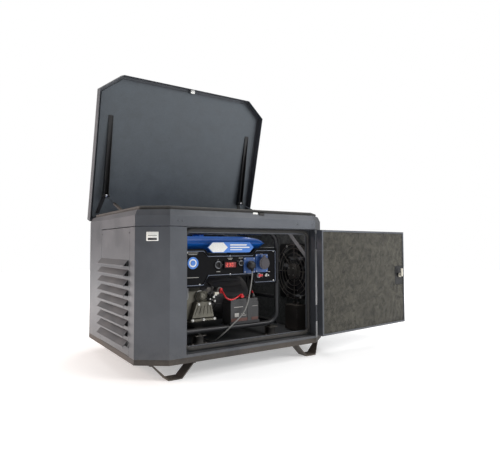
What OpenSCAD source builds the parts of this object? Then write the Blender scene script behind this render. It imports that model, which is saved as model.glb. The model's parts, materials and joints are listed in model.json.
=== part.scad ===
// Home standby generator: an open-frame petrol generating set inside a
// weatherproof steel cabinet with a gas-sprung lid and a side-hinged door.
// Millimetres, +Z up, front towards -Y. The origin is on the ground, at the
// centre of the four anchor holes in the feet.

/* [Cabinet] */
// Width of the cabinet, side to side
cab_w = 1086; // [1060:1:1120]
// Depth of the cabinet, front to back
cab_d = 836; // [820:1:860]
// Length of the corner chamfer along the front
chamfer_x = 124; // [110:1:130]
// Length of the corner chamfer along the side
chamfer_y = 96; // [85:1:100]
// Height of the feet
foot_h = 65; // [55:1:80]
// Height of the base skirt
skirt_h = 25; // [22:1:30]
// Height of the walls above the feet, up to the bevel
wall_h = 650; // [645:1:670]
// Height of the rim band above the seam
band_h = 47; // [40:1:55]
// Height of the bevel on the rim
bevel_h = 26; // [22:1:28]
// How far the bevel leans in
bevel_in = 12; // [10:1:16]
// Thickness of the sheet steel
sheet = 2; // [1.5:0.5:2.5]

/* [Lid] */
// How far the lid stands open
lid_open = 75.7; // [0:0.1:75.7]
// Depth of the lid's turned edge
lid_depth = 56; // [54:1:60]
// Distance of each lid arm from the middle
arm_x = 463; // [450:1:466]

/* [Door] */
// How far the door stands open
door_open = 184.7; // [0:0.1:185]
// Thickness of the door with its lining
door_t = 38; // [34:1:42]
// Depth of the recess that the door closes into
jamb_d = 50; // [48:1:56]

/* [Louvres] */
// Number of blades in a side panel
blade_count = 9; // [7:1:9]
// Height from one blade to the next
blade_pitch = 45; // [42:1:46]
// How far a blade stands out from its panel
blade_out = 22; // [16:1:26]

/* [Fan] */
// Radius of the cooling fan's rotor
fan_r = 148; // [130:1:150]
// Number of fan blades
fan_blades = 7; // [5:1:9]

/* [Generating set] */
// Radius of the frame tube
tube_r = 13; // [12:0.5:15]
// Length of the frame between tube centres
set_w = 682; // [660:1:690]
// Depth of the frame between tube centres
set_d = 510; // [490:1:520]
// Radius of the bends in the frame tube
bend_r = 62; // [50:1:80]

/* [Hidden] */
$fn = 48;

// Colours
powder_grey = [0.33, 0.34, 0.37];
base_brown = [0.17, 0.15, 0.14];
black = [0.07, 0.07, 0.08];
steel = [0.72, 0.73, 0.74];
tube_grey = [0.42, 0.42, 0.43];
tank_blue = [0.12, 0.32, 0.68];
felt = [0.34, 0.33, 0.29];
cast = [0.55, 0.54, 0.48];

// Half sizes and levels of the cabinet
hw = cab_w / 2;
hd = cab_d / 2;
z_base = foot_h + skirt_h;
z_top = foot_h + wall_h;
z_seam = z_top - band_h;
z_bevel = z_top + bevel_h;
floor_t = 2;
z_floor = z_base + floor_t;
front_x = hw - chamfer_x;
side_y = -hd + chamfer_y;
// Where the side panel starts and ends
panel_y0 = -258;
panel_y1 = 189;
// Where the anchor holes stand
foot_x = 388;
foot_y = 380;
foot_w = 66;
anchor_r = 6;

// Door opening in the front, its inner flange and the door's own outline
open_x0 = -339;
open_x1 = front_x - 1.5;
open_z0 = z_base + 12;
open_z1 = z_seam - 2;
flange_w = 26;
door_gap = 3;
door_x0 = open_x0 + door_gap;
door_x1 = open_x1 - 2;
door_z0 = open_z0 + door_gap;
door_z1 = open_z1 - door_gap;
// Door hinge line
dh_x = front_x - 2;
dh_y = -hd - 6;
dh_r = 5.5;
hinge_fit = 0.05;
spindle_r = 8;

// Lid outline, hinge line and levels when shut
lid_over = 3;
lh_y = hd + 10;
lh_z = z_top + 1;
lh_r = 6;
lid_z0 = z_top + 2;
lid_z1 = lid_z0 + lid_depth;
pin_r = 3;

// Inner face of the lid's liner when shut
liner_z = z_bevel + 18;
// Gas spring: lower end on the rim, upper end in the lid's arm when shut
spring_low = [50, z_bevel + 4];
spring_high = [lh_y - 160, lh_z + 9];
spring_r = 9;
rod_r = 4;
eye_w = 10;

// Inner face of the felt on the right wall
lining_x = hw - 29;

// Fan centre on the right wall
fan_x = 492;
fan_y = -153;
fan_z = 428;

// Generating set
set_x = -61;
z_rail = 167;
z_rail_top = 651;
panel_y = -set_d / 2 - 20;
plug_x = 88;
plug_z = 491;

// Route of the lead from the plug to the gland in the back wall
cord_r = 3.5;
cord_route = [
    [88, -304, 450], [88, -304, 440], [87, -303, 425], [83, -301, 385], [74, -299, 335],
    [62, -297, 285], [48, -294, 252], [30, -292, 228], [8, -290, 208], [-20, -286, 184],
    [-48, -281, 160], [-72, -271, 137], [-88, -251, 117], [-95, -222, 102], [-98, -185, 96],
    [-99, -140, 95.6], [-100, -80, 95.6], [-100, 0, 95.6], [-100, 80, 95.6], [-100, 160, 95.6],
    [-100, 240, 95.6], [-100, 300, 96], [-100, 334, 102], [-100, 356, 114], [-100, 372, 127],
    [-100, 386, 137], [-100, 400, 140]
];
// Routes of the starter cables
red_route = [
    [-55, -226, 352], [-55, -242, 348], [-54, -257, 336], [-50, -268, 321], [-40, -275, 312],
    [-26, -278, 308], [-8, -278, 310], [12, -275, 317], [34, -266, 325], [50, -254, 328],
    [60, -246, 325]
];
black_route = [
    [130, -246, 325], [133, -238, 334], [139, -226, 339], [150, -204, 337], [160, -180, 326],
    [164, -154, 308], [163, -130, 290], [160, -108, 282]
];

// ---------- shared shapes ----------

// Plan outline of the cabinet, set in from its outer face by i
diag = norm([chamfer_x, chamfer_y]);
in_y = (diag - chamfer_y) / chamfer_x;
in_x = (diag - chamfer_x) / chamfer_y;
function plan(i) = [
    [-hw + i, hd - i], [-hw + i, side_y + in_y * i], [-front_x + in_x * i, -hd + i],
    [front_x - in_x * i, -hd + i], [hw - i, side_y + in_y * i], [hw - i, hd - i]
];

// Upright ring that follows the plan between two insets
module plan_ring(i0, i1, h) {
    linear_extrude(h) difference() {
        polygon(plan(i0));
        polygon(plan(i1));
    }
}

// Outline of a bent sheet: a path and the same path moved to its left by t
function side_of(a, b) = let (d = (b - a) / norm(b - a)) [-d[1], d[0]];
function moved(p, i, t) =
    i == 0 ? p[0] + t * side_of(p[0], p[1]) :
    i == len(p) - 1 ? p[i] + t * side_of(p[i - 1], p[i]) :
    let (a = side_of(p[i - 1], p[i]), b = side_of(p[i], p[i + 1])) p[i] + t * (a + b) / (1 + a * b);
function bent(p, t) = concat(p, [for (i = [len(p) - 1:-1:0]) moved(p, i, t)]);

// Rectangle with round corners, centred
module round_rect(w, h, r) {
    square([w - 2 * r, h], center = true);
    square([w, h - 2 * r], center = true);
    for (x = [-1, 1], y = [-1, 1]) translate([x * (w / 2 - r), y * (h / 2 - r)]) circle(r);
}

// Extrude a plan drawn in X and Z so that it fills from y to y + d
module along_y(y, d) {
    translate([0, y + d, 0]) rotate([90, 0, 0]) linear_extrude(d) children();
}

// Extrude a plan drawn in Y and Z so that it fills from x to x + w
module along_x(x, w) {
    translate([x, 0, 0]) rotate([90, 0, 90]) linear_extrude(w) children();
}

// Smooth curve through points, n rings to each stretch
function spline_at(a, b, c, d, t) =
    0.5 * (2 * b + (c - a) * t + (2 * a - 5 * b + 4 * c - d) * t * t
        + (3 * b - a - 3 * c + d) * t * t * t);
function spline(p, n) = concat(
    [for (i = [0:len(p) - 2], k = [0:n - 1])
        spline_at(p[max(i - 1, 0)], p[i], p[i + 1], p[min(i + 2, len(p) - 1)], k / n)],
    [p[len(p) - 1]]);

// Round tube swept along points, as one closed polyhedron
module sweep(p, r, sides = 10) {
    last = len(p) - 1;
    rings = [for (i = [0:last])
        let (t = p[min(i + 1, last)] - p[max(i - 1, 0)],
            u = cross(t, [1, 0.35, 0.2]), v = cross(t, u))
        for (k = [0:sides - 1])
            p[i] + r * (cos(360 * k / sides) * u / norm(u) + sin(360 * k / sides) * v / norm(v))];
    walls = [for (i = [0:last - 1], k = [0:sides - 1])
        let (m = (k + 1) % sides)
        [i * sides + k, i * sides + m, (i + 1) * sides + m, (i + 1) * sides + k]];
    ends = [[for (k = [sides - 1:-1:0]) k], [for (k = [0:sides - 1]) last * sides + k]];
    polyhedron(rings, concat(walls, ends));
}

// Bolt with a hex head, its shank pointing down from z = 0
module bolt(head_r, head_h, shank_r, shank_l) {
    cylinder(h = head_h, r = head_r, $fn = 6);
    translate([0, 0, -shank_l]) cylinder(h = shank_l, r = shank_r);
}

// Put a lid drawn shut, or a door drawn shut, where it stands open
module with_lid() {
    translate([0, lh_y, lh_z]) rotate([-lid_open, 0, 0]) translate([0, -lh_y, -lh_z]) children();
}
module with_door() {
    translate([dh_x, dh_y, 0]) rotate([0, 0, door_open]) translate([-dh_x, -dh_y, 0]) children();
}

// ---------- cabinet ----------

module base_frame() color(base_brown) {
    translate([0, 0, foot_h]) {
        plan_ring(0, 3, skirt_h);
        plan_ring(3, 40, 3);
        translate([0, 0, skirt_h - 3]) plan_ring(3, 40, 3);
        for (x = [-foot_x, foot_x]) translate([x - 30, 3 - hd + 37, 0]) difference() {
            cube([60, cab_d - 80, skirt_h]);
            translate([3, -1, 3]) cube([54, cab_d - 78, skirt_h - 6]);
        }
    }
}

module floor_pan() color(powder_grey)
    translate([0, 0, z_base]) linear_extrude(floor_t) polygon(plan(sheet));

// Flat bar bent into a hat, standing on its narrow side
module foot() {
    half_top = 88;
    half_low = 32;
    flange = 10;
    bar = 5;
    z1 = foot_h - bar;
    difference() {
        along_y(-foot_w / 2, foot_w) polygon(bent([
            [-half_top - flange, z1], [-half_top, z1], [-half_low, 0], [half_low, 0],
            [half_top, z1], [half_top + flange, z1]
        ], bar));
        translate([0, 0, -1]) cylinder(h = bar + 2, r = anchor_r);
    }
}
module feet() color(base_brown) {
    intersection() {
        for (x = [-foot_x, foot_x], y = [-foot_y, foot_y]) translate([x, y, 0]) foot();
        translate([0, 0, -1]) linear_extrude(foot_h + 2) polygon(plan(4));
    }
}

// Corner sheet from the side panel round the chamfer to the door opening
post_lip = 14;
module front_post(path) {
    translate([0, 0, z_base]) linear_extrude(z_seam - z_base - 3) polygon(bent(concat([
        [hw - post_lip, panel_y0 - 1], [hw, panel_y0 - 1], [hw, side_y], [front_x, -hd]
    ], path), -sheet));
}
module front_post_left() color(powder_grey) mirror([1, 0, 0]) front_post([[-open_x0, -hd]]);
module front_post_right() color(powder_grey) front_post([]);

module rear_shell() color(powder_grey) {
    hole_r = 12;
    pipe_r = 24;
    difference() {
        translate([0, 0, z_base]) linear_extrude(z_top - z_base) polygon(bent([
            [-hw + 14, panel_y1 + 1], [-hw, panel_y1 + 1], [-hw, hd], [hw, hd],
            [hw, panel_y1 + 1], [hw - 14, panel_y1 + 1]
        ], -sheet));
        translate([cord_route[26][0], hd - 20, 140]) rotate([-90, 0, 0]) cylinder(h = 40, r = hole_r);
        translate([210, hd - 20, 470]) rotate([-90, 0, 0]) cylinder(h = 40, r = pipe_r);
    }
}

// Side panel with bent blades over its slots, drawn for the left side
module louvre_panel() {
    y0 = panel_y0 + 1;
    len_y = panel_y1 - panel_y0 - 2;
    z0 = z_base + 2;
    z1 = z_seam - 4;
    slot_y0 = y0 + 16;
    slot_len = len_y - 18;
    z_first = foot_h + 454;
    difference() {
        translate([-hw, y0, z0]) cube([sheet, len_y, z1 - z0]);
        for (k = [0:blade_count - 1])
            translate([-hw - 1, slot_y0, z_first - k * blade_pitch - 30])
                cube([sheet + 2, slot_len, 24]);
    }
    for (k = [0:blade_count - 1]) {
        z = z_first - k * blade_pitch;
        along_y(slot_y0, slot_len) polygon(bent([
            [-hw + sheet / 2, z - 2], [-hw - 1, z - 2], [-hw - blade_out, z - 26],
            [-hw - blade_out, z - 33]
        ], 1.5));
    }
    // folded edges that stiffen the panel
    for (y = [y0, y0 + len_y - sheet]) translate([-hw + sheet, y, z0]) cube([12, sheet, z1 - z0]);
}
module louvre_panel_left() color(powder_grey) louvre_panel();
module louvre_panel_right() color(powder_grey) mirror([1, 0, 0]) louvre_panel();

module top_rim() color(powder_grey) {
    // band above the seam, on the front and sides
    translate([0, 0, z_seam]) linear_extrude(z_top - z_seam) polygon(bent([
        [-hw, panel_y1], [-hw, side_y], [-front_x, -hd], [front_x, -hd], [hw, side_y], [hw, panel_y1]
    ], sheet));
    // lower fold of the band
    translate([0, 0, z_seam]) linear_extrude(sheet) difference() {
        polygon(plan(sheet));
        polygon(plan(28));
        translate([-hw, panel_y1]) square([cab_w, cab_d]);
    }
    // bevel
    difference() {
        hull() {
            translate([0, 0, z_top]) linear_extrude(0.01) polygon(plan(0));
            translate([0, 0, z_bevel - 0.01]) linear_extrude(0.01) polygon(plan(bevel_in));
        }
        hull() {
            translate([0, 0, z_top - 1]) linear_extrude(0.01) polygon(plan(sheet));
            translate([0, 0, z_bevel + 1]) linear_extrude(0.01) polygon(plan(bevel_in + sheet));
        }
    }
    // top fold and its turned-down inner edge
    translate([0, 0, z_bevel - sheet]) plan_ring(bevel_in + sheet - 1, 44, sheet);
    translate([0, 0, z_top]) plan_ring(42, 44, z_bevel - sheet - z_top);
}

// Sill, jambs and inner flange that frame the door opening
module door_surround() color(powder_grey) {
    w = open_x1 - open_x0;
    h = open_z1 - open_z0;
    back = -hd + jamb_d;
    // sill face
    translate([open_x0, -hd, z_base]) cube([w, sheet, open_z0 - z_base]);
    // jambs all round, and the flange that carries the seal
    along_y(-hd + sheet, jamb_d) difference() {
        translate([open_x0 - sheet, open_z0 - sheet]) square([w + 2 * sheet, h + 2 * sheet]);
        translate([open_x0, open_z0]) square([w, h]);
    }
    along_y(back, sheet) difference() {
        translate([open_x0 - 1, open_z0 - 1]) square([w + 2, h + 2]);
        translate([open_x0 + flange_w, open_z0 + flange_w])
            square([w - 2 * flange_w, h - 2 * flange_w]);
    }
}

module rubber_seals() color(black) {
    // buffer on the rim's front edge
    translate([58, -hd + 4, z_bevel - 11]) cube([30, 5, 20]);
    translate([58, -hd + 4, z_bevel]) cube([30, 15, 9]);
    seal_h = liner_z - z_bevel - 0.5;
    translate([0, 0, z_bevel]) plan_ring(20, 34, seal_h);
    w = open_x1 - open_x0 - 6;
    h = open_z1 - open_z0 - 6;
    y_face = -hd + door_t + 0.6;
    translate([(open_x0 + open_x1) / 2, 0, (open_z0 + open_z1) / 2])
        along_y(y_face, -hd + jamb_d - y_face) difference() {
            round_rect(w, h, 42);
            round_rect(w - 34, h - 34, 26);
        }
}

// Felt sheets on the inside of the right and back walls
module acoustic_lining() color(felt) {
    pad = 14;
    difference() {
        translate([lining_x, -300, z_floor + 1])
            cube([pad, hd + 300 - 20, z_seam - z_floor - 5]);
        translate([fan_x - 10, fan_y, fan_z]) rotate([0, 90, 0]) cylinder(h = 80, r = fan_r + 6);
    }
    difference() {
        translate([-hw + 20, hd - sheet - pad, z_floor + 17])
            cube([lining_x + hw - 21, pad, z_top - z_floor - 40]);
        translate([cord_route[26][0], hd - 30, 140]) rotate([-90, 0, 0]) cylinder(h = 40, r = 24);
        translate([210, hd - 30, 470]) rotate([-90, 0, 0]) cylinder(h = 40, r = 30);
    }
}

// ---------- cooling fan ----------

module fan_axis() translate([fan_x, fan_y, fan_z]) rotate([0, 90, 0]) children();

module fan_shroud() color(black) fan_axis() {
    depth = lining_x - 0.4 - fan_x;
    difference() {
        union() {
            cylinder(h = depth, r = 162);
            translate([0, 0, depth - 4]) linear_extrude(4) round_rect(326, 326, 20);
        }
        translate([0, 0, -1]) cylinder(h = depth + 2, r = fan_r + 6);
    }
}

// Wire rings and spokes, with the motor hung in the middle
module fan_guard() color(black) fan_axis() translate([0, 0, -6]) {
    wire = 1.8;
    for (r = [58, 84, 110, 136, 160]) rotate_extrude() translate([r, 0]) circle(wire, $fn = 16);
    for (a = [0:45:135]) rotate([0, 0, a]) translate([0, 0, 3]) rotate([0, 90, 0])
        cylinder(h = 324, r = 2.2, center = true, $fn = 16);
    for (a = [0:90:270]) rotate([0, 0, a + 22.5]) translate([160, 0, -2]) cylinder(h = 8, r = 9);
    translate([0, 0, -14]) cylinder(h = 21, r = 46);
    translate([0, 0, -20]) cylinder(h = 7, r = 38);
}

module fan_rotor() color(black) fan_axis() {
    hub_r = 44;
    hub_z = 6;
    difference() {
        translate([0, 0, hub_z]) cylinder(h = 26, r = hub_r);
        translate([0, 0, hub_z + 4]) cylinder(h = 30, r = hub_r - 5);
    }
    intersection() {
        for (k = [0:fan_blades - 1]) rotate([0, 0, k * 360 / fan_blades])
            translate([hub_r - 3, 0, hub_z + 12]) rotate([32, 0, 0])
                translate([0, -34, -1.5]) cube([fan_r, 68, 3]);
        difference() {
            cylinder(h = 36, r = fan_r);
            translate([0, 0, -1]) cylinder(h = 40, r = hub_r - 2);
        }
    }
}

// Junction box on the right wall, with a screwed cover facing the set
module junction_box() color(base_brown) {
    box = [78, 104, 140];
    translate([lining_x - box[0] - 0.4, -236, z_floor + 6]) {
        difference() {
            cube(box);
            translate([4, -1, -1]) cube([1.5, 2, box[2] + 2]);
            translate([4, box[1] - 1, -1]) cube([1.5, 2, box[2] + 2]);
        }
        for (y = [9, box[1] - 9], z = [9, box[2] - 9]) translate([-2.5, y, z])
            rotate([0, 90, 0]) cylinder(h = 3, r = 4.5);
        for (y = [30, 70]) translate([box[0] / 2, y, box[2]]) cylinder(h = 14, r = 9, $fn = 6);
    }
}

module corner_brace() color(powder_grey) {
    bar = 4;
    along_x(474, bar) polygon([[-96, z_top - 20], [-66, z_top - 20], [-322, 462], [-322, 492]]);
    translate([474, -96, z_top - 22]) cube([69 - sheet, 30, bar]);
    translate([474, -320.5, 462]) cube([69 - sheet, bar, 30]);
}

// ---------- rim and wall fittings ----------

module rim_fittings() color(steel) {
    for (m = [0, 1]) mirror([m, 0, 0]) {
        // gas spring clevis: flange on the rim's inner edge, shelf, two cheeks and a pin
        translate([hw - 47, spring_low[0] - 12, z_top + 2]) cube([3, 24, 22]);
        translate([arm_x - 9, spring_low[0] - 9, z_top + 15]) cube([hw - 47 - arm_x + 9, 18, 3]);
        for (x = [-9, 6]) translate([arm_x + x, spring_low[0] - 7, z_top + 18])
            cube([3, 14, z_bevel + 10 - z_top - 18]);
        translate([arm_x - 9, spring_low[0], spring_low[1]]) rotate([0, 90, 0])
            cylinder(h = 18, r = 4);
    }
    // keeper for the lid catch, folded over the rim's front edge
    translate([22, -hd + bevel_in, z_bevel]) cube([28, 7.5, 2.5]);
    translate([22, -hd + bevel_in - 3, z_bevel - 9]) cube([28, 3, 11.5]);
}

// Row of knuckles along x, each of width w, at the places in ks
module knuckles(ks, w, gap, r) {
    for (k = ks) translate([k * w + gap, 0, 0]) rotate([0, 90, 0]) cylinder(h = w - 2 * gap, r = r);
}

module lid_hinge_bases() color(steel) {
    w = 16;
    for (x = [-380, 0, 380]) translate([x - 2.5 * w, lh_y, lh_z]) {
        knuckles([0, 2, 4], w, 0, lh_r);
        rotate([0, 90, 0]) cylinder(h = 5 * w, r = pin_r);
        translate([0, -10, -34]) cube([5 * w, 3, 27.5]);
        for (k = [0, 2, 4]) translate([k * w, -10, -8]) cube([w, 8, 6]);
    }
}

module lid_hinge_leaves() color(steel) with_lid() {
    w = 16;
    for (x = [-380, 0, 380]) translate([x - 2.5 * w, lh_y, lh_z]) difference() {
        union() {
            knuckles([1, 3], w, 0.3, lh_r);
            translate([0, -7, 7.5]) cube([5 * w, 3, 30]);
            for (k = [1, 3]) translate([k * w + 0.3, -7, 2]) cube([w - 0.6, 5, 6]);
        }
        translate([-1, 0, 0]) rotate([0, 90, 0]) cylinder(h = 5 * w + 2, r = pin_r + hinge_fit);
    }
}

// Weld-on barrel hinges: the lower half and its pin stay on the cabinet
door_hinge_z = [180, 560];
barrel_h = 42;
module door_hinge_bases() color(steel) {
    for (z = door_hinge_z) translate([dh_x, dh_y, z]) {
        cylinder(h = barrel_h, r = dh_r);
        cylinder(h = 2 * barrel_h - 4, r = pin_r);
        translate([1, 0, 4]) cube([8, 8.6, barrel_h - 8]);
    }
}
module door_hinge_leaves() color(steel) with_door() {
    for (z = door_hinge_z) translate([dh_x, dh_y, z + barrel_h + 0.4]) difference() {
        union() {
            cylinder(h = barrel_h, r = dh_r);
            translate([-30, 3, 4]) cube([30, 3, barrel_h - 8]);
        }
        translate([0, 0, -1]) cylinder(h = barrel_h - 3, r = pin_r + hinge_fit);
    }
}

module exhaust_pipe() color(steel) {
    translate([210, 0, 470]) rotate([-90, 0, 0]) difference() {
        union() {
            translate([0, 0, 236]) cylinder(h = hd + 40 - 236, r = 19);
            translate([0, 0, hd]) cylinder(h = 4, r = 36);
        }
        translate([0, 0, 250]) cylinder(h = hd, r = 17);
    }
}

module cable_gland() color(black) {
    translate([cord_route[26][0], hd, 140]) rotate([-90, 0, 0]) difference() {
        union() {
            translate([0, 0, -16]) cylinder(h = 40, r = 11.5);
            cylinder(h = 6, r = 17, $fn = 6);
            translate([0, 0, 24]) cylinder(h = 14, r1 = 15, r2 = 12);
            translate([0, 0, -8]) cylinder(h = 6, r = 17, $fn = 6);
        }
        translate([0, 0, -12]) cylinder(h = 60, r = 6);
    }
}

// ---------- generating set: frame, mounts and tank ----------

// Closed loop of tube in X and Z with round corners
module tube_loop(w, h, bend, r) {
    for (s = [-1, 1]) {
        translate([-w / 2 + bend, 0, s * h / 2]) rotate([0, 90, 0]) cylinder(h = w - 2 * bend, r = r);
        translate([s * w / 2, 0, -h / 2 + bend]) cylinder(h = h - 2 * bend, r = r);
    }
    for (a = [0:3])
        translate([(a == 0 || a == 3 ? 1 : -1) * (w / 2 - bend), 0, (a < 2 ? 1 : -1) * (h / 2 - bend)])
            rotate([90, 0, 0]) rotate([0, 0, a * 90])
                rotate_extrude(angle = 90) translate([bend, 0]) circle(r);
}

rail_mid = (z_rail + z_rail_top) / 2;
rail_h = z_rail_top - z_rail;
cross_x = [-180, 262];
module genset_frame() color(tube_grey) {
    for (y = [-set_d / 2, set_d / 2]) translate([set_x, y, rail_mid])
        tube_loop(set_w, rail_h, bend_r, tube_r);
    // cross rails that carry the engine, the alternator and the mounts
    for (x = cross_x) translate([x - 20, -set_d / 2, z_rail - 12]) difference() {
        cube([40, set_d, 24]);
        translate([3, -1, 3]) cube([34, set_d + 2, 18]);
    }
    // tie tubes between the loops, low at the ends and high under the tank
    for (s = [-1, 1]) translate([set_x + s * (set_w / 2), -set_d / 2, 300])
        rotate([-90, 0, 0]) cylinder(h = set_d, r = tube_r - 2);
    for (s = [-1, 1]) translate([set_x + s * (set_w / 2 - 4), -set_d / 2, 560])
        rotate([-90, 0, 0]) cylinder(h = set_d, r = tube_r - 2);
    // battery tray, resting on the front rail
    translate([-24, -272, z_rail + tube_r]) cube([178, 92, 4]);
    translate([-24, -272, z_rail + tube_r + 4]) cube([178, 2, 10]);
    for (x = [0, 130]) translate([x - 10, -182, z_rail - 10]) cube([20, 4, 24]);
}

mount_y = [-set_d / 2 + 26, set_d / 2 - 26];
module rubber_mounts() color(black) {
    for (x = cross_x, y = mount_y) translate([x, y, z_floor]) {
        translate([-44, -26, 0]) cube([88, 52, 4]);
        translate([0, 0, 4]) cylinder(h = 8, r1 = 28, r2 = 23);
        translate([0, 0, 12]) cylinder(h = 34, r = 22);
        translate([-30, -24, 46]) cube([60, 48, 4]);
        for (s = [-1, 1]) translate([s * 36, 0, 4]) bolt(8, 6, 4, 3);
        translate([-30, 19, 4]) cube([60, 3, 42]);
        translate([0, 0, 50]) cylinder(h = z_rail - 12 - z_floor - 50, r = 9, $fn = 6);
    }
}

tank_x0 = -386;
tank_x1 = 228;
module fuel_tank() color(tank_blue) {
    cx = (tank_x0 + tank_x1) / 2;
    w = tank_x1 - tank_x0;
    // pressed halves: lower pan, welded seam flange and domed top
    hull() {
        translate([cx, -34, 545]) linear_extrude(12) round_rect(w - 60, 350, 46);
        translate([cx, -46, 588]) linear_extrude(4) round_rect(w - 10, 408, 54);
    }
    translate([cx, -46, 592]) linear_extrude(4) round_rect(w, 420, 60);
    hull() {
        translate([cx, -46, 596]) linear_extrude(12) round_rect(w - 12, 406, 54);
        translate([cx, -46, 624]) linear_extrude(6) round_rect(w - 110, 300, 60);
    }
    translate([-100, -60, 628]) cylinder(h = 12, r = 30);
}

module fuel_cap() color(black) translate([-100, -60, 640.4]) {
    cylinder(h = 16, r = 37);
    for (a = [0:30:330]) rotate([0, 0, a]) translate([36, -3, 1]) cube([4, 6, 14]);
    translate([-26, -4, 16]) cube([52, 8, 5]);
}

// ---------- control panel ----------

// Panel face, higher at its ends than in its stepped middle
panel_x0 = -389;
panel_x1 = 267;
panel_d = 30;
panel_z0 = 378;
panel_z1 = 565;
function panel_outline(i) = [
    [panel_x0 + i, panel_z0 + i], [-176 - i / 2, panel_z0 + i], [-148 - i / 2, panel_z0 + 46 + i],
    [102 + i / 2, panel_z0 + 46 + i], [118 + i / 2, panel_z0 + i], [panel_x1 - i, panel_z0 + i],
    [panel_x1 - i, panel_z1 - i], [128 + i / 2, panel_z1 - i], [102 + i / 2, panel_z1 - 26 - i],
    [-150 - i / 2, panel_z1 - 26 - i], [-174 - i / 2, panel_z1 - i], [panel_x0 + i, panel_z1 - i]
];
module control_panel() color([0.16, 0.16, 0.17]) {
    along_y(panel_y, panel_d) difference() {
        polygon(panel_outline(0));
        polygon(panel_outline(3));
    }
    difference() {
        along_y(panel_y + 2, 3) polygon(panel_outline(1));
        // hole that the fuse button is pressed into
        translate([148, panel_y + 1, 424]) rotate([-90, 0, 0]) cylinder(h = 5, r = 6 + hinge_fit);
    }
    along_y(panel_y - 1.5, 3.5) difference() {
        polygon(panel_outline(9));
        polygon(panel_outline(13));
    }
    along_y(panel_y + panel_d - 3, 3) polygon(panel_outline(2));
}

module panel_fittings() color([0.75, 0.77, 0.8]) {
    y = panel_y + 2;
    // meter bezel and window
    along_y(y - 9, 9) difference() {
        translate([-27, 484]) round_rect(82, 41, 4);
        translate([-27, 484]) round_rect(68, 28, 2);
    }
    along_y(y - 4, 4) translate([-27, 484]) square([68, 28], center = true);
    // badge plate: a long blue hexagon with a white hexagon on its left
    along_y(panel_y - 7, 5) polygon([[-161, 572], [-134, 546], [86, 546], [112, 572], [86, 599],
        [-134, 599]]);
    along_y(panel_y - 9, 2) polygon([[-158, 572], [-132, 548], [-72, 548], [-47, 572], [-72, 597],
        [-132, 597]]);
    // stand-offs that hold the badge plate to the panel's top edge
    for (x = [-134, 86]) translate([x - 5, panel_y - 2, 548]) cube([10, 6, 14]);
    // round emblem on the left
    translate([-237, y, 497]) rotate([90, 0, 0]) {
        cylinder(h = 3, r = 29);
        cylinder(h = 5, r = 12);
    }
    // earth terminal and pilot lamp
    translate([168, y, 424]) rotate([90, 0, 0]) cylinder(h = 8, r = 6);
    translate([198, y, 424]) rotate([90, 0, 0]) {
        cylinder(h = 6, r = 9, $fn = 6);
        cylinder(h = 22, r = 4);
    }
    // face screws
    for (p = [[-268, 548], [-27, 528], [-27, 436], [246, 551], [246, 394], [-200, 392]])
        translate([p[0], y, p[1]]) rotate([90, 0, 0]) cylinder(h = 3, r = 5);
    // sleeves that the knobs turn in
    for (p = [[-96, 485, 19], [38, 491, 14]]) translate([p[0], y, p[1]]) rotate([90, 0, 0]) difference() {
        cylinder(h = 4, r = p[2]);
        translate([0, 0, -1]) cylinder(h = 6, r = 4 + hinge_fit);
    }
    translate([148, y, 424]) rotate([90, 0, 0]) difference() {
        cylinder(h = 6, r = 13);
        translate([0, 0, -1]) cylinder(h = 8, r = 6 + hinge_fit);
    }
}

module ignition_switch() color(black) translate([-96, panel_y + 1.8, 485]) rotate([90, 0, 0]) {
    cylinder(h = 8, r = 4);
    translate([0, 0, 4.6]) cylinder(h = 10, r = 15);
    translate([-3.5, -13, 12]) cube([7, 26, 9]);
}

module voltage_selector() color(black) translate([38, panel_y + 1.8, 491]) rotate([90, 0, 0]) {
    cylinder(h = 8, r = 4);
    translate([0, 0, 4.6]) cylinder(h = 12, r = 10);
    translate([-2, -10, 14]) cube([4, 20, 7]);
}

module fuse_button() color([0.75, 0.08, 0.08]) translate([148, panel_y + 1.8, 424])
    rotate([90, 0, 0]) {
        cylinder(h = 12, r = 6);
        translate([0, 0, 11]) cylinder(h = 4, r = 8.5);
    }

// Panel socket: square flange, round collar and a blind well
module socket_body(w, h, collar_r, well_r, out) {
    rotate([90, 0, 0]) difference() {
        union() {
            linear_extrude(6) round_rect(w, h, 5);
            cylinder(h = out, r = collar_r);
        }
        translate([0, 0, 4]) cylinder(h = out + 1, r = well_r);
    }
}
module socket_16a() color(tank_blue) translate([plug_x, panel_y + 2, plug_z - 12]) {
    socket_body(70, 80, 26, 20, 12);
}
module socket_32a() color(tank_blue) translate([166, panel_y + 2, 488]) {
    socket_body(78, 95, 31, 27, 26);
    translate([-20, -20, 34]) cube([12, 20, 8]);
    translate([8, -20, 34]) cube([12, 20, 8]);
    translate([-20, -23, 38]) rotate([0, 90, 0]) cylinder(h = 12, r = 5);
    translate([8, -23, 38]) rotate([0, 90, 0]) cylinder(h = 12, r = 5);
    translate([-9, -23, 38]) rotate([0, 90, 0]) cylinder(h = 18, r = 2);
}

flap_y = panel_y + 2 - 23;
flap_z = 526;
module socket_flap() color(black) translate([166, flap_y, flap_z]) difference() {
    union() {
        rotate([0, 90, 0]) translate([0, 0, -7.5]) cylinder(h = 15, r = 5);
        translate([-7.5, -9, -12]) cube([15, 5, 12]);
        translate([0, -3.6, -38]) rotate([90, 0, 0]) cylinder(h = 5.4, r = 32);
        translate([0, -9, -38]) rotate([90, 0, 0]) cylinder(h = 3, r = 24);
    }
    rotate([0, 90, 0]) translate([0, 0, -10]) cylinder(h = 20, r = 2 + hinge_fit);
}

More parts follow.
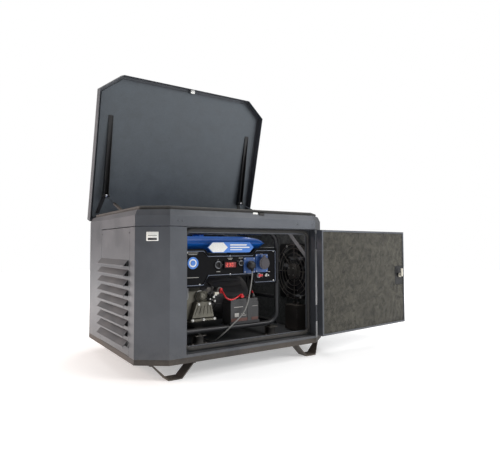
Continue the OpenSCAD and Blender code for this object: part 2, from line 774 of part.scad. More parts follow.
// Angled mains plug in the smaller socket, its lead leaving downwards
module power_plug() color(black) translate([plug_x, panel_y + 2, plug_z - 12]) {
    rotate([90, 0, 0]) {
        translate([0, 0, 4.4]) cylinder(h = 25, r = 19.5);
        translate([0, 0, 12.4]) cylinder(h = 17, r = 23);
        translate([0, 0, 29.4]) cylinder(h = 10, r1 = 23, r2 = 15);
    }
    translate([0, -31, -17]) rotate([180, 0, 0]) cylinder(h = 12, r1 = 11, r2 = 7.5);
    translate([0, -31, -18]) cylinder(h = 10, r = 11);
}

module power_cord() color([0.7, 0.7, 0.68]) sweep(spline(cord_route, 3), cord_r, 8);

// ---------- engine, alternator and battery ----------

engine_x = -180;
module engine_block() color(cast) {
    // crankcase with its feet on the cross rail
    translate([-290, -90, z_rail + 23]) cube([188, 230, 190]);
    translate([-290, -100, z_rail + 12]) cube([188, 250, 12]);
    translate([engine_x + 10, -40, 380]) cylinder(h = 20, r = 26);
    // oil filler
    translate([-274, -84, 222]) rotate([60, 0, 0]) cylinder(h = 34, r = 13);
}

// Inclined barrel with cooling fins, axis leaning up towards the front
head_tilt = 8;
module engine_cylinder() color(cast) difference() {
    translate([engine_x, -70, 262]) rotate([90 - head_tilt, 0, 0]) {
        cylinder(h = 120, r = 52);
        for (k = [0:8]) translate([0, 0, 26 + k * 10]) linear_extrude(4) round_rect(146, 150, 26);
        translate([0, 0, 116]) linear_extrude(28) round_rect(136, 140, 22);
    }
    // flat foot that sits on the crankcase's front
    translate([-290, -90, 160]) cube([188, 60, 210]);
}

module rocker_cover() color(cast) translate([engine_x, -70, 262]) rotate([90 - head_tilt, 0, 0]) {
    // tapering cover with a thick lower edge
    hull() {
        translate([0, 0, 144]) linear_extrude(16)
            polygon([[-57, -67], [77, -67], [64, 22], [-24, 22]]);
        translate([0, 0, 172]) linear_extrude(6)
            polygon([[-50, -58], [70, -58], [58, 16], [-18, 16]]);
    }
    translate([0, 0, 144]) linear_extrude(38)
        polygon([[-60, -74], [80, -74], [79, -64], [-59, -64]]);
    // intake elbow
    translate([14, 46, 144]) cylinder(h = 20, r = 26);
    translate([14, 46, 164]) cylinder(h = 12, r1 = 26, r2 = 16);
}

// Fan cowl with its round air intake on the left end
module blower_housing() color(black) {
    translate([-290, 20, 300]) rotate([0, -90, 0]) difference() {
        union() {
            cylinder(h = 62, r = 128);
            translate([0, 0, 62]) cylinder(h = 18, r1 = 118, r2 = 92);
        }
        for (a = [0:30:330]) rotate([0, 0, a]) translate([62, -7, 70]) cube([26, 14, 20]);
    }
}

module air_cleaner() color(black) {
    translate([-250, 70, 462]) {
        linear_extrude(64) round_rect(170, 150, 18);
        // intake stub down to the crankcase
        translate([10, 0, z_rail + 213 - 462]) cylinder(h = 462 - z_rail - 213, r = 22);
    }
}

module muffler() color([0.35, 0.33, 0.31]) {
    translate([60, 190, 470]) {
        rotate([0, 90, 0]) translate([0, 0, -130]) linear_extrude(300) round_rect(110, 92, 30);
        translate([-150, 0, -20]) rotate([0, 90, 0]) cylinder(h = 22, r = 17);
    }
    translate([-100, 190, 400]) cylinder(h = 40, r = 17);
    translate([-100, 190, 438]) rotate([0, 90, 0]) cylinder(h = 12, r = 17);
}

module alternator() color([0.4, 0.41, 0.42]) {
    translate([-100, 20, 300]) rotate([0, 90, 0]) {
        cylinder(h = 60, r1 = 122, r2 = 116);
        difference() {
            translate([0, 0, 60]) cylinder(h = 210, r = 116);
            for (a = [0:15:345]) rotate([0, 0, a]) translate([112, -3, 70]) cube([10, 6, 190]);
        }
        translate([0, 0, 270]) cylinder(h = 34, r = 104);
        difference() {
            translate([0, 0, 304]) cylinder(h = 14, r = 90);
            for (a = [0:30:330]) rotate([0, 0, a]) translate([44, -6, 308]) cube([34, 12, 12]);
        }
    }
    // feet that reach the right-hand cross rail
    for (y = [-70, 78]) {
        translate([120, y, z_rail + 12]) cube([160, 34, 8]);
        translate([130, y, z_rail + 19]) cube([60, 34, 38]);
    }
}

// height of the battery's case below its lid
case_h = 104;
module battery() color([0.33, 0.33, 0.34]) {
    translate([-20, -268, z_rail + tube_r + 4.2]) {
        cube([170, 84, case_h]);
        translate([3, 3, case_h]) cube([164, 78, 18]);
        for (x = [80, 150]) translate([x, 22, case_h + 18]) cylinder(h = 14, r = 7);
        // hold-down strap
        translate([102, -2, 0]) cube([22, 2, case_h + 18]);
        translate([102, -2, case_h + 18]) cube([22, 88, 2]);
    }
}

module battery_cables() color([0.8, 0.08, 0.08]) {
    sweep(spline(red_route, 3), 4, 8);
    sweep(spline(black_route, 3), 4, 8);
}

// ---------- lid ----------

module lid_shell() color(powder_grey) with_lid() {
    translate([0, 0, lid_z1 - sheet]) linear_extrude(sheet) polygon(plan(-lid_over));
    translate([0, 0, lid_z0]) plan_ring(-lid_over, sheet - lid_over, lid_depth - sheet);
}

// Inner panel with its turned edge, over the lid's insulation
module lid_liner() color([0.33, 0.36, 0.38]) with_lid() {
    translate([0, 0, liner_z]) linear_extrude(sheet) polygon(plan(17));
    translate([0, 0, liner_z + sheet]) plan_ring(17, 19, lid_z1 - 2 * sheet - liner_z);
}

// Tapered channels along the lid; the gas springs push on their low ends
arm_s0 = 146;
arm_s1 = 620;
arm_deep = 42;
module lid_arm() {
    z = liner_z - 2;
    for (x = [arm_x - 13, arm_x + 11]) along_x(x, 2) polygon([
        [lh_y - arm_s0, z], [lh_y - arm_s0 - 2, z - arm_deep + 6],
        [lh_y - arm_s0 - 8, z - arm_deep], [lh_y - arm_s0 - 24, z - arm_deep],
        [lh_y - arm_s0 - 34, z - arm_deep + 4], [lh_y - arm_s1, z - 1], [lh_y - arm_s1, z]
    ]);
    translate([arm_x - 13, lh_y - arm_s1, z]) cube([26, arm_s1 - arm_s0, 2]);
    // cross bolt with its head and nut
    translate([arm_x - 13, spring_high[0], spring_high[1]]) rotate([0, 90, 0]) {
        cylinder(h = 26, r = 4);
        translate([0, 0, -6]) cylinder(h = 6, r = 8, $fn = 6);
        translate([0, 0, 26]) cylinder(h = 7, r = 8, $fn = 6);
        translate([0, 0, 33]) cylinder(h = 4, r = 4);
    }
    // strap from the arm's foot to the hinge corner
    translate([0, 0, liner_z - 4]) linear_extrude(4) polygon([
        [arm_x - 10, lh_y - arm_s0 - 8], [arm_x + 13, lh_y - arm_s0 - 8], [hw - 36, lh_y - 50],
        [hw - 56, lh_y - 50]
    ]);
}
module lid_arms() color(black) with_lid() {
    lid_arm();
    mirror([1, 0, 0]) lid_arm();
}

// Catch on the inside of the lid's front edge
catch_z = z_bevel + 3;
module lid_catch() color(steel) with_lid() {
    translate([8, -hd - 1, catch_z]) {
        cube([26, 3, 14]);
        cube([26, 20, 2.5]);
    }
}

// ---------- gas springs, drawn along +Y from the lower end ----------

open_rad = lid_open;
high_rel = [spring_high[0] - lh_y, spring_high[1] - lh_z];
high_now = [
    lh_y + high_rel[0] * cos(open_rad) + high_rel[1] * sin(open_rad),
    lh_z - high_rel[0] * sin(open_rad) + high_rel[1] * cos(open_rad)
];
spring_vec = high_now - spring_low;
spring_len = norm(spring_vec);
spring_len_shut = norm(spring_high - spring_low);
spring_angle = atan2(spring_vec[1], spring_vec[0]);
cylinder_len = spring_len_shut - 26;

module along_spring(side) {
    translate([side * arm_x, spring_low[0], spring_low[1]]) rotate([spring_angle, 0, 0])
        rotate([-90, 0, 0]) children();
}
// neck that clears the clevis cheeks
neck_end = 12;
module gas_cylinder(side) color(black) along_spring(side) {
    difference() {
        union() {
            translate([0, 0, neck_end]) cylinder(h = cylinder_len - neck_end, r = spring_r);
            cylinder(h = neck_end + 1, r = eye_w / 2);
            rotate([0, 90, 0]) cylinder(h = eye_w, r = spring_r, center = true);
        }
        rotate([0, 90, 0]) cylinder(h = 3 * eye_w, r = 4 + hinge_fit, center = true);
        translate([0, 0, 12]) cylinder(h = cylinder_len, r = rod_r + hinge_fit);
    }
}
module gas_rod(side) color(steel) along_spring(side) {
    difference() {
        union() {
            translate([0, 0, spring_len - spring_len_shut + 14])
                cylinder(h = spring_len_shut - 14, r = rod_r);
            translate([0, 0, spring_len - 12]) cylinder(h = 8, r = 6);
            translate([0, 0, spring_len]) rotate([0, 90, 0])
                cylinder(h = eye_w, r = spring_r, center = true);
        }
        translate([0, 0, spring_len]) rotate([0, 90, 0])
            cylinder(h = 3 * eye_w, r = 4.4, center = true);
    }
}
module gas_cylinder_left() gas_cylinder(-1);
module gas_cylinder_right() gas_cylinder(1);
module gas_rod_left() gas_rod(-1);
module gas_rod_right() gas_rod(1);

// ---------- door ----------

module door_shell() color(powder_grey) with_door() {
    w = door_x1 - door_x0;
    h = door_z1 - door_z0;
    translate([door_x0, -hd, door_z0]) difference() {
        cube([w, door_t, h]);
        translate([sheet, sheet, sheet]) cube([w - 2 * sheet, door_t, h - 2 * sheet]);
        translate([latch_x - door_x0, -1, latch_z - door_z0]) rotate([-90, 0, 0])
            cylinder(h = sheet + 2, r = spindle_r + hinge_fit);
    }
    // turned-in edge that holds the lining
    translate([door_x0, -hd + door_t - sheet, door_z0]) difference() {
        cube([w, sheet, h]);
        translate([10, -1, 10]) cube([w - 20, 4, h - 20]);
    }
}

latch_x = door_x0 + 52;
latch_z = (door_z0 + door_z1) / 2 + 12.5;
module door_lining() color(felt) with_door() {
    difference() {
        translate([door_x0 + 3, -hd + 3, door_z0 + 3])
            cube([door_x1 - door_x0 - 6, door_t - 6, door_z1 - door_z0 - 6]);
        translate([latch_x - 38, -hd - 1, latch_z - 56]) cube([78, door_t + 2, 112]);
    }
}

module door_latch_plate() color(black) with_door() {
    translate([latch_x, -hd, latch_z]) difference() {
        union() {
            translate([-37, door_t - 6, -55]) cube([76, 3, 110]);
            translate([-37, 3, -55]) cube([3, door_t - 6, 110]);
            translate([36, 3, -55]) cube([3, door_t - 6, 110]);
            translate([-18, 3, -30]) cube([36, door_t - 8, 60]);
        }
        rotate([-90, 0, 0]) translate([0, 0, -1]) cylinder(h = 60, r = 8 + hinge_fit);
    }
}

// Stem with a cranked tongue that turns behind the flange of the opening
module door_latch_cam() color([0.82, 0.8, 0.74]) with_door() {
    reach = jamb_d + sheet + 7.5;
    translate([latch_x, -hd, latch_z]) rotate([-90, 0, 0]) {
        translate([0, 0, 1]) cylinder(h = reach - 1, r = spindle_r);
        translate([0, 0, door_t + 0.6]) cylinder(h = 5, r = 13);
        translate([-9, -42, reach - 5]) cube([18, 42, 5]);
    }
}

module door_handle() color(black) with_door() {
    translate([latch_x, -hd, latch_z]) rotate([-90, 0, 0]) {
        translate([0, 0, -10]) cylinder(h = 9.6, r = 17);
        translate([0, 0, -10]) cylinder(h = 11, r = spindle_r);
        translate([-11, -16, -22]) cube([22, 112, 12]);
    }
}

base_frame();
floor_pan();
feet();
front_post_left();
front_post_right();
rear_shell();
louvre_panel_left();
louvre_panel_right();
top_rim();
door_surround();
rubber_seals();
acoustic_lining();
fan_shroud();
fan_guard();
fan_rotor();
junction_box();
corner_brace();
rim_fittings();
lid_hinge_bases();
door_hinge_bases();
exhaust_pipe();
cable_gland();
genset_frame();
rubber_mounts();
fuel_tank();
fuel_cap();
control_panel();
panel_fittings();
ignition_switch();
voltage_selector();
fuse_button();
socket_16a();
socket_32a();
socket_flap();
power_plug();
power_cord();
engine_block();
engine_cylinder();
rocker_cover();
blower_housing();
air_cleaner();
muffler();
alternator();
battery();
battery_cables();
lid_shell();
lid_liner();
lid_arms();
lid_hinge_leaves();
lid_catch();
gas_cylinder_left();
gas_cylinder_right();
gas_rod_left();
gas_rod_right();
door_shell();
door_lining();
door_hinge_leaves();
door_latch_plate();
door_latch_cam();
door_handle();
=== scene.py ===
"""Home standby generator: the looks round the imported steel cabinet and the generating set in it."""

import json
import math

import bpy
import numpy as np
from mathutils import Euler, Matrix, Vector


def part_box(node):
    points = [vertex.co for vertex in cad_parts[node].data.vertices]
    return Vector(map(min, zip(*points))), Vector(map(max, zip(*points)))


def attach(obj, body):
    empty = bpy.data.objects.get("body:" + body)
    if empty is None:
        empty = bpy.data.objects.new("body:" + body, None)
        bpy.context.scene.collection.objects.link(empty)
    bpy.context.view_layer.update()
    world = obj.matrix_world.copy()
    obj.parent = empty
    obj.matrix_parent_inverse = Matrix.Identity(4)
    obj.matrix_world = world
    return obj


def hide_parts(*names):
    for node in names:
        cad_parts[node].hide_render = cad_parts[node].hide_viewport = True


bl_info = {
    "name": "Standby Generator Looks",
    "version": (1, 0, 0),
    "blender": (4, 5, 0),
    "location": "3D View > Sidebar > Generator",
    "description": "Builds the finishes and fine parts of a generating set in a steel cabinet",
    "category": "Object",
}

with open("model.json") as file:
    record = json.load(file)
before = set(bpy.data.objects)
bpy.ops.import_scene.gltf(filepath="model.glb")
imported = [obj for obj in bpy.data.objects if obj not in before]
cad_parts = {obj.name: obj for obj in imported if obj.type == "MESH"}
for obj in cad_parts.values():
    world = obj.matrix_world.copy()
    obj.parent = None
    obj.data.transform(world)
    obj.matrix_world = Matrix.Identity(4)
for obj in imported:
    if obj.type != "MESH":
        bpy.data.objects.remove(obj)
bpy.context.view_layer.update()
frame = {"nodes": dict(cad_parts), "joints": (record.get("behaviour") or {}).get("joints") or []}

# Lengths below are in millimetres; add_piece turns them into metres.
MM = 0.001
JOINTS = {j["name"]: j for j in frame["joints"]}


# ---------- places ----------

def node_box(node):
    """Lowest and highest corner of a CAD node, in millimetres."""
    lo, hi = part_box(node)
    return np.array(lo) / MM, np.array(hi) / MM


def middle(node):
    """Middle of a CAD node's box, in millimetres."""
    lo, hi = node_box(node)
    return (lo + hi) / 2


def pivot(joint):
    """Where a joint's axis stands, in millimetres."""
    return np.array(JOINTS[joint]["pos_m"]) / MM


def turn(points, centre, axis, degrees):
    """Rodrigues' rotation: p = c + v cos a + (k x v) sin a + k (k.v)(1 - cos a), for all points at once."""
    k = np.array(axis, float) / np.linalg.norm(axis)
    v = np.asarray(points, float) - centre
    a = math.radians(degrees)
    return (np.array(centre) + v * math.cos(a) + np.cross(k, v) * math.sin(a)
            + np.outer(v @ k, k) * (1 - math.cos(a)))


def opened(joint, points):
    """Points drawn with a lid or door shut, moved to where it stands open at rest."""
    j = JOINTS[joint]
    return turn(points, pivot(joint), j["axis"], -j["range_deg"][1])


# ---------- surfaces ----------

def grid_faces(rows, cols, close_rows=False, close_cols=True):
    """Quads of a rows x cols grid of points, joined round where it's closed."""
    r = np.arange(rows if close_rows else rows - 1)[:, None]
    c = np.arange(cols if close_cols else cols - 1)[None, :]
    r1, c1 = (r + 1) % rows, (c + 1) % cols
    return np.stack([r * cols + c, r * cols + c1, r1 * cols + c1, r1 * cols + c], -1).reshape(-1, 4)


def shell(rings, close_rows=False):
    """Closed surface through rings of points, an array (rows, cols, 3), with a flat face on each end.

    Its signed volume is the sum of a . (b x c) / 6 over its triangles; where that is negative the faces
    point inwards, so all of them are turned round.
    """
    rows, cols = rings.shape[:2]
    quads = grid_faces(rows, cols, close_rows)
    faces = quads.tolist()
    fans = np.concatenate([quads[:, [0, 1, 2]], quads[:, [0, 2, 3]]])
    if not close_rows:
        ring = np.arange(cols)
        last = ring + (rows - 1) * cols
        faces += [ring[::-1].tolist(), last.tolist()]
        foot = np.stack([0 * ring[2:], ring[2:], ring[1:-1]], -1)
        top = np.stack([0 * last[2:] + last[0], last[1:-1], last[2:]], -1)
        fans = np.concatenate([fans, foot, top])
    points = rings.reshape(-1, 3)
    a, b, c = (points[fans] - points.mean(0)).transpose(1, 0, 2)
    if np.einsum("ij,ij->i", a, np.cross(b, c)).sum() < 0:
        faces = [face[::-1] for face in faces]
    return points, faces


def join(*parts):
    """Several surfaces as one: points stacked, face numbers shifted by the points before them."""
    points, faces, start = [], [], 0
    for p, f in parts:
        points.append(np.asarray(p, float))
        faces += [[i + start for i in face] for face in f]
        start += len(p)
    return np.concatenate(points), faces


def axes_of(direction, ref=(0.31, 0.17, 0.93)):
    """Unit vectors u and v at right angles to a direction: u = d x ref, v = d x u."""
    d = np.array(direction, float) / np.linalg.norm(direction)
    u = np.cross(d, ref)
    u /= np.linalg.norm(u)
    return u, np.cross(d, u)


def lathe(profile, base=(0, 0, 0), direction=(0, 0, 1), sides=40, phase=0.0):
    """Profile rows of (radius, height) turned round an axis: p = base + h d + r (cos a u + sin a v)."""
    profile = np.array(profile, float)
    d = np.array(direction, float) / np.linalg.norm(direction)
    u, v = axes_of(d)
    a = 2 * math.pi * np.arange(sides) / sides + phase
    spoke = np.cos(a)[:, None] * u + np.sin(a)[:, None] * v
    rings = (np.array(base, float) + profile[:, 1, None, None] * d
             + profile[:, 0, None, None] * spoke[None])
    return shell(rings)


def tube(path, radius, sides=12, ref=(0.31, 0.17, 0.93), closed=False):
    """A circle carried along a path: p = c + r (cos a u + sin a v), u and v square to the tangent."""
    path = np.array(path, float)
    if closed:
        t = np.roll(path, -1, 0) - np.roll(path, 1, 0)
    else:
        t = np.gradient(path, axis=0)
    t /= np.linalg.norm(t, axis=1)[:, None]
    u = np.cross(t, ref)
    u /= np.linalg.norm(u, axis=1)[:, None]
    v = np.cross(t, u)
    r = np.broadcast_to(np.asarray(radius, float), (len(path),))[:, None, None]
    a = 2 * math.pi * np.arange(sides) / sides
    cos, sin = np.cos(a)[None, :, None], np.sin(a)[None, :, None]
    rings = path[:, None] + r * (cos * u[:, None] + sin * v[:, None])
    return shell(rings, close_rows=closed)


def smooth_path(points, per_span=8):
    """Catmull-Rom curve through points: a cubic on each span, from the four points round it."""
    p = np.array(points, float)
    q = np.vstack([p[:1], p, p[-1:]])
    t = np.linspace(0, 1, per_span, endpoint=False)[None, :, None]
    a, b, c, d = q[:-3, None], q[1:-2, None], q[2:-1, None], q[3:, None]
    curve = 0.5 * (2 * b + (c - a) * t + (2 * a - 5 * b + 4 * c - d) * t ** 2
                   + (3 * b - a - 3 * c + d) * t ** 3)
    return np.vstack([curve.reshape(-1, 3), p[-1:]])


def round_rect(half_x, half_y, radius, per_corner=8):
    """Outline of a rectangle with round corners, anticlockwise: corner centre + r (cos a, sin a)."""
    radius = min(radius, half_x - 0.01, half_y - 0.01)
    a = np.linspace(0, math.pi / 2, per_corner + 1)
    turns = a[None, :] + (math.pi / 2) * np.arange(4)[:, None]
    sx = np.array([1, -1, -1, 1])[:, None] * (half_x - radius)
    sy = np.array([1, 1, -1, -1])[:, None] * (half_y - radius)
    return np.stack([sx + radius * np.cos(turns), sy + radius * np.sin(turns)], -1).reshape(-1, 2)


def loft(rings, centre=(0, 0, 0), normal="z", per_corner=8):
    """Round rectangles stacked along an axis; each ring is (half width, half depth, corner, height)."""
    outlines = np.stack([round_rect(a, b, r, per_corner) for a, b, r, _ in rings])
    h = np.array([ring[3] for ring in rings], float)[:, None, None]
    h = np.broadcast_to(h, outlines.shape[:2] + (1,))
    p = np.concatenate([outlines, h], -1)
    if normal == "y":
        p = np.stack([p[..., 0], -p[..., 2], p[..., 1]], -1)
    elif normal == "x":
        p = np.stack([p[..., 2], p[..., 0], p[..., 1]], -1)
    return shell(p + np.array(centre, float))


def soft_box(size, edge, centre, normal="z", corner=None):
    """A block with rounded edges: the loft of a quarter circle at its foot and at its top."""
    hx, hy, hz = np.array(size, float) / 2
    corner = edge * 1.2 if corner is None else corner
    a = np.linspace(0, math.pi / 2, 5)
    foot = [(hx - edge + edge * s, hy - edge + edge * s, corner, -hz + edge - edge * c)
            for s, c in zip(np.sin(a), np.cos(a))]
    top = [(x, y, r, -h) for x, y, r, h in foot[::-1]]
    return loft(foot + top, centre, normal)


def hex_bolt(base, direction, across, height, washer=0.0):
    """Hex head with a chamfered top, on an optional round washer."""
    r = across / math.sqrt(3)
    head = lathe([(r, washer * 0.25), (r, height - across * 0.07), (r * 0.86, height)], base, direction, 6)
    if not washer:
        return head
    return join(head, lathe([(washer, 0), (washer, washer * 0.2), (washer * 0.94, washer * 0.26)],
                            base, direction, 20))


def ripple(a, b, waves, size, seed):
    """Smooth uneven height: the mean of cosines with random directions and phases."""
    rng = np.random.default_rng(seed)
    k = rng.normal(0, 2 * math.pi / size, (waves, 2))
    phase = rng.uniform(0, 2 * math.pi, waves)
    field = np.cos(k[:, 0, None, None] * a + k[:, 1, None, None] * b + phase[:, None, None])
    return field.sum(0) / math.sqrt(waves / 2)


# ---------- pieces ----------

def add_piece(name, part, body, material, smooth_below=35.0, replaces=()):
    """Puts a surface into the scene as one object that rides on a body."""
    points, faces = part
    mesh = bpy.data.meshes.new(name)
    mesh.from_pydata((np.asarray(points, float) * MM).tolist(), [], faces)
    mesh.polygons.foreach_set("use_smooth", np.ones(len(mesh.polygons), bool))
    mesh.set_sharp_from_angle(angle=math.radians(smooth_below))
    mesh.update()
    piece = bpy.data.objects.new(name, mesh)
    bpy.context.scene.collection.objects.link(piece)
    mesh.materials.append(material)
    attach(piece, body)
    if replaces:
        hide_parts(*replaces)
    return piece


def finish_nodes(material, *nodes):
    """Gives carried-over CAD nodes their material."""
    for node in nodes:
        obj = frame["nodes"][node]
        if not obj.material_slots:
            obj.data.materials.append(material)
        for slot in obj.material_slots:
            slot.material = material


# ---------- shader node groups ----------

def new_group(name, inputs, outputs):
    """A shader node group with named sockets; returns it with its input and output nodes."""
    group = bpy.data.node_groups.new(name, "ShaderNodeTree")
    for label, kind, value in inputs:
        socket = group.interface.new_socket(name=label, in_out="INPUT", socket_type=kind)
        socket.default_value = value
    for label, kind in outputs:
        group.interface.new_socket(name=label, in_out="OUTPUT", socket_type=kind)
    return group, group.nodes.new("NodeGroupInput"), group.nodes.new("NodeGroupOutput")


def math_node(tree, operation, a, b=None, clamp=False):
    """A Math node fed by sockets or plain numbers; returns its output."""
    n = tree.nodes.new("ShaderNodeMath")
    n.operation, n.use_clamp = operation, clamp
    for i, value in enumerate((a, b)):
        if value is None:
            continue
        if isinstance(value, (int, float)):
            n.inputs[i].default_value = value
        else:
            tree.links.new(value, n.inputs[i])
    return n.outputs[0]


def noise(tree, vector, scale, detail=4.0, roughness=0.55, distortion=0.0):
    """Noise on a vector; scale is a number or a socket, in cells to the metre."""
    n = tree.nodes.new("ShaderNodeTexNoise")
    n.inputs["Detail"].default_value = detail
    n.inputs["Roughness"].default_value = roughness
    n.inputs["Distortion"].default_value = distortion
    if isinstance(scale, (int, float)):
        n.inputs["Scale"].default_value = scale
    else:
        tree.links.new(scale, n.inputs["Scale"])
    tree.links.new(vector, n.inputs["Vector"])
    return n.outputs["Fac"]


def remap(tree, value, lo, hi, out_lo=0.0, out_hi=1.0):
    """Stretches a value from one range to another, with its ends held."""
    n = tree.nodes.new("ShaderNodeMapRange")
    tree.links.new(value, n.inputs["Value"])
    n.inputs["From Min"].default_value, n.inputs["From Max"].default_value = lo, hi
    n.inputs["To Min"].default_value, n.inputs["To Max"].default_value = out_lo, out_hi
    return n.outputs[0]


def mix_color(tree, factor, a, b, blend="MIX"):
    """A colour mix of two sockets or plain colours; returns its output."""
    n = tree.nodes.new("ShaderNodeMix")
    n.data_type, n.blend_type = "RGBA", blend
    for socket, value in ((n.inputs[0], factor), (n.inputs[6], a), (n.inputs[7], b)):
        if isinstance(value, (int, float)):
            socket.default_value = value
        elif isinstance(value, (tuple, list)):
            socket.default_value = (*value[:3], 1.0)
        else:
            tree.links.new(value, socket)
    return n.outputs[2]


def object_vector(tree):
    """The Object coordinates of the piece, in metres."""
    return tree.nodes.new("ShaderNodeTexCoord").outputs["Object"]


def grain_group():
    """Fine relief: grain at one size and waviness at another, added into one height."""
    g, i, o = new_group("Fine Grain", [("Grain Scale", "NodeSocketFloat", 900.0),
                                       ("Wave Scale", "NodeSocketFloat", 12.0),
                                       ("Waviness", "NodeSocketFloat", 0.4)],
                        [("Height", "NodeSocketFloat"), ("Fleck", "NodeSocketFloat")])
    v = object_vector(g)
    fine = noise(g, v, i.outputs["Grain Scale"], 3.0, 0.6)
    wave = noise(g, v, i.outputs["Wave Scale"], 2.0, 0.5)
    height = math_node(g, "ADD", fine, math_node(g, "MULTIPLY", wave, i.outputs["Waviness"]))
    g.links.new(height, o.inputs["Height"])
    g.links.new(fine, o.inputs["Fleck"])
    return g


def patina_group():
    """Use and weather: broad patches of tone, dust on upward faces and low down, and rub marks."""
    g, i, o = new_group("Patina", [("Patch Scale", "NodeSocketFloat", 6.0),
                                   ("Dust Height", "NodeSocketFloat", 0.16),
                                   ("Dust", "NodeSocketFloat", 0.5)],
                        [("Patch", "NodeSocketFloat"), ("Dust", "NodeSocketFloat"),
                         ("Rub", "NodeSocketFloat")])
    v = object_vector(g)
    patch = noise(g, v, i.outputs["Patch Scale"], 5.0, 0.6, 0.4)
    spots = noise(g, v, 160.0, 4.0, 0.7)
    split = g.nodes.new("ShaderNodeSeparateXYZ")
    g.links.new(v, split.inputs[0])
    height = math_node(g, "DIVIDE", split.outputs["Z"], i.outputs["Dust Height"])
    low = math_node(g, "SUBTRACT", 1.0, height, True)
    facing = g.nodes.new("ShaderNodeSeparateXYZ")
    geometry = g.nodes.new("ShaderNodeNewGeometry")
    g.links.new(geometry.outputs["Normal"], facing.inputs[0])
    up = remap(g, facing.outputs["Z"], 0.25, 1.0)
    both = math_node(g, "MAXIMUM", low, up)
    broken = remap(g, math_node(g, "ADD", patch, math_node(g, "MULTIPLY", spots, 0.6)), 0.6, 1.05)
    dust = math_node(g, "MULTIPLY", math_node(g, "MULTIPLY", both, broken), i.outputs["Dust"], True)
    streak = g.nodes.new("ShaderNodeMapping")
    streak.inputs["Scale"].default_value = (60.0, 60.0, 4.0)
    g.links.new(v, streak.inputs["Vector"])
    rub = remap(g, noise(g, streak.outputs[0], 1.0, 3.0, 0.6), 0.62, 0.78)
    g.links.new(patch, o.inputs["Patch"])
    g.links.new(dust, o.inputs["Dust"])
    g.links.new(rub, o.inputs["Rub"])
    return g


def edge_group():
    """Edge mask: how far the rounded normal of the Bevel node leans away from the true one."""
    g, i, o = new_group("Edge Wear", [("Breakup Scale", "NodeSocketFloat", 90.0),
                                      ("Amount", "NodeSocketFloat", 0.5)],
                        [("Mask", "NodeSocketFloat"), ("Normal", "NodeSocketVector")])
    bevel = g.nodes.new("ShaderNodeBevel")
    bevel.samples = 3
    bevel.inputs["Radius"].default_value = 0.0016
    geometry = g.nodes.new("ShaderNodeNewGeometry")
    dot = g.nodes.new("ShaderNodeVectorMath")
    dot.operation = "DOT_PRODUCT"
    g.links.new(bevel.outputs[0], dot.inputs[0])
    g.links.new(geometry.outputs["Normal"], dot.inputs[1])
    lean = remap(g, dot.outputs["Value"], 0.97, 0.80)
    rough = remap(g, noise(g, object_vector(g), i.outputs["Breakup Scale"], 5.0, 0.7), 0.42, 0.62)
    mask = math_node(g, "MULTIPLY", math_node(g, "MULTIPLY", lean, rough), i.outputs["Amount"], True)
    g.links.new(mask, o.inputs["Mask"])
    g.links.new(bevel.outputs[0], o.inputs["Normal"])
    return g


def fibre_group():
    """Needle felt: tufts of three tones and a relief of short crossed fibres."""
    g, i, o = new_group("Felt Fibre", [("Tuft Scale", "NodeSocketFloat", 60.0)],
                        [("Tuft", "NodeSocketFloat"), ("Speck", "NodeSocketFloat"),
                         ("Height", "NodeSocketFloat")])
    v = object_vector(g)
    tuft = noise(g, v, i.outputs["Tuft Scale"], 5.0, 0.75, 0.8)
    speck = noise(g, v, 420.0, 3.0, 0.8)
    heights = []
    for scale in ((1500.0, 260.0, 320.0), (300.0, 260.0, 1500.0)):
        m = g.nodes.new("ShaderNodeMapping")
        m.inputs["Scale"].default_value = scale
        m.inputs["Rotation"].default_value = (0.3, 0.5, 0.7)
        g.links.new(v, m.inputs["Vector"])
        heights.append(noise(g, m.outputs[0], 1.0, 2.0, 0.6, 0.5))
    height = math_node(g, "ADD", math_node(g, "MAXIMUM", *heights), math_node(g, "MULTIPLY", tuft, 0.8))
    for value, label in ((tuft, "Tuft"), (speck, "Speck"), (height, "Height")):
        g.links.new(value, o.inputs[label])
    return g


GROUPS = {}


def group_node(tree, name, **values):
    """Places a shared node group in a material, with its own values."""
    makers = {"Fine Grain": grain_group, "Patina": patina_group, "Edge Wear": edge_group,
              "Felt Fibre": fibre_group}
    if name not in GROUPS:
        GROUPS[name] = makers[name]()
    n = tree.nodes.new("ShaderNodeGroup")
    n.node_tree = GROUPS[name]
    for label, value in values.items():
        n.inputs[label.replace("_", " ")].default_value = value
    return n


# ---------- materials ----------

MATERIALS = {}


def principled(name):
    """A new material; returns it with its tree and its Principled BSDF."""
    m = bpy.data.materials.new(name)
    m.use_nodes = True
    MATERIALS[name] = m
    return m, m.node_tree, m.node_tree.nodes["Principled BSDF"]


def set_bump(tree, bsdf, height, strength, distance, normal=None):
    """Feeds a height through a Bump node into the shader's Normal."""
    bump = tree.nodes.new("ShaderNodeBump")
    bump.inputs["Strength"].default_value = strength
    bump.inputs["Distance"].default_value = distance
    tree.links.new(height, bump.inputs["Height"])
    if normal is not None:
        tree.links.new(normal, bump.inputs["Normal"])
    tree.links.new(bump.outputs[0], bsdf.inputs["Normal"])


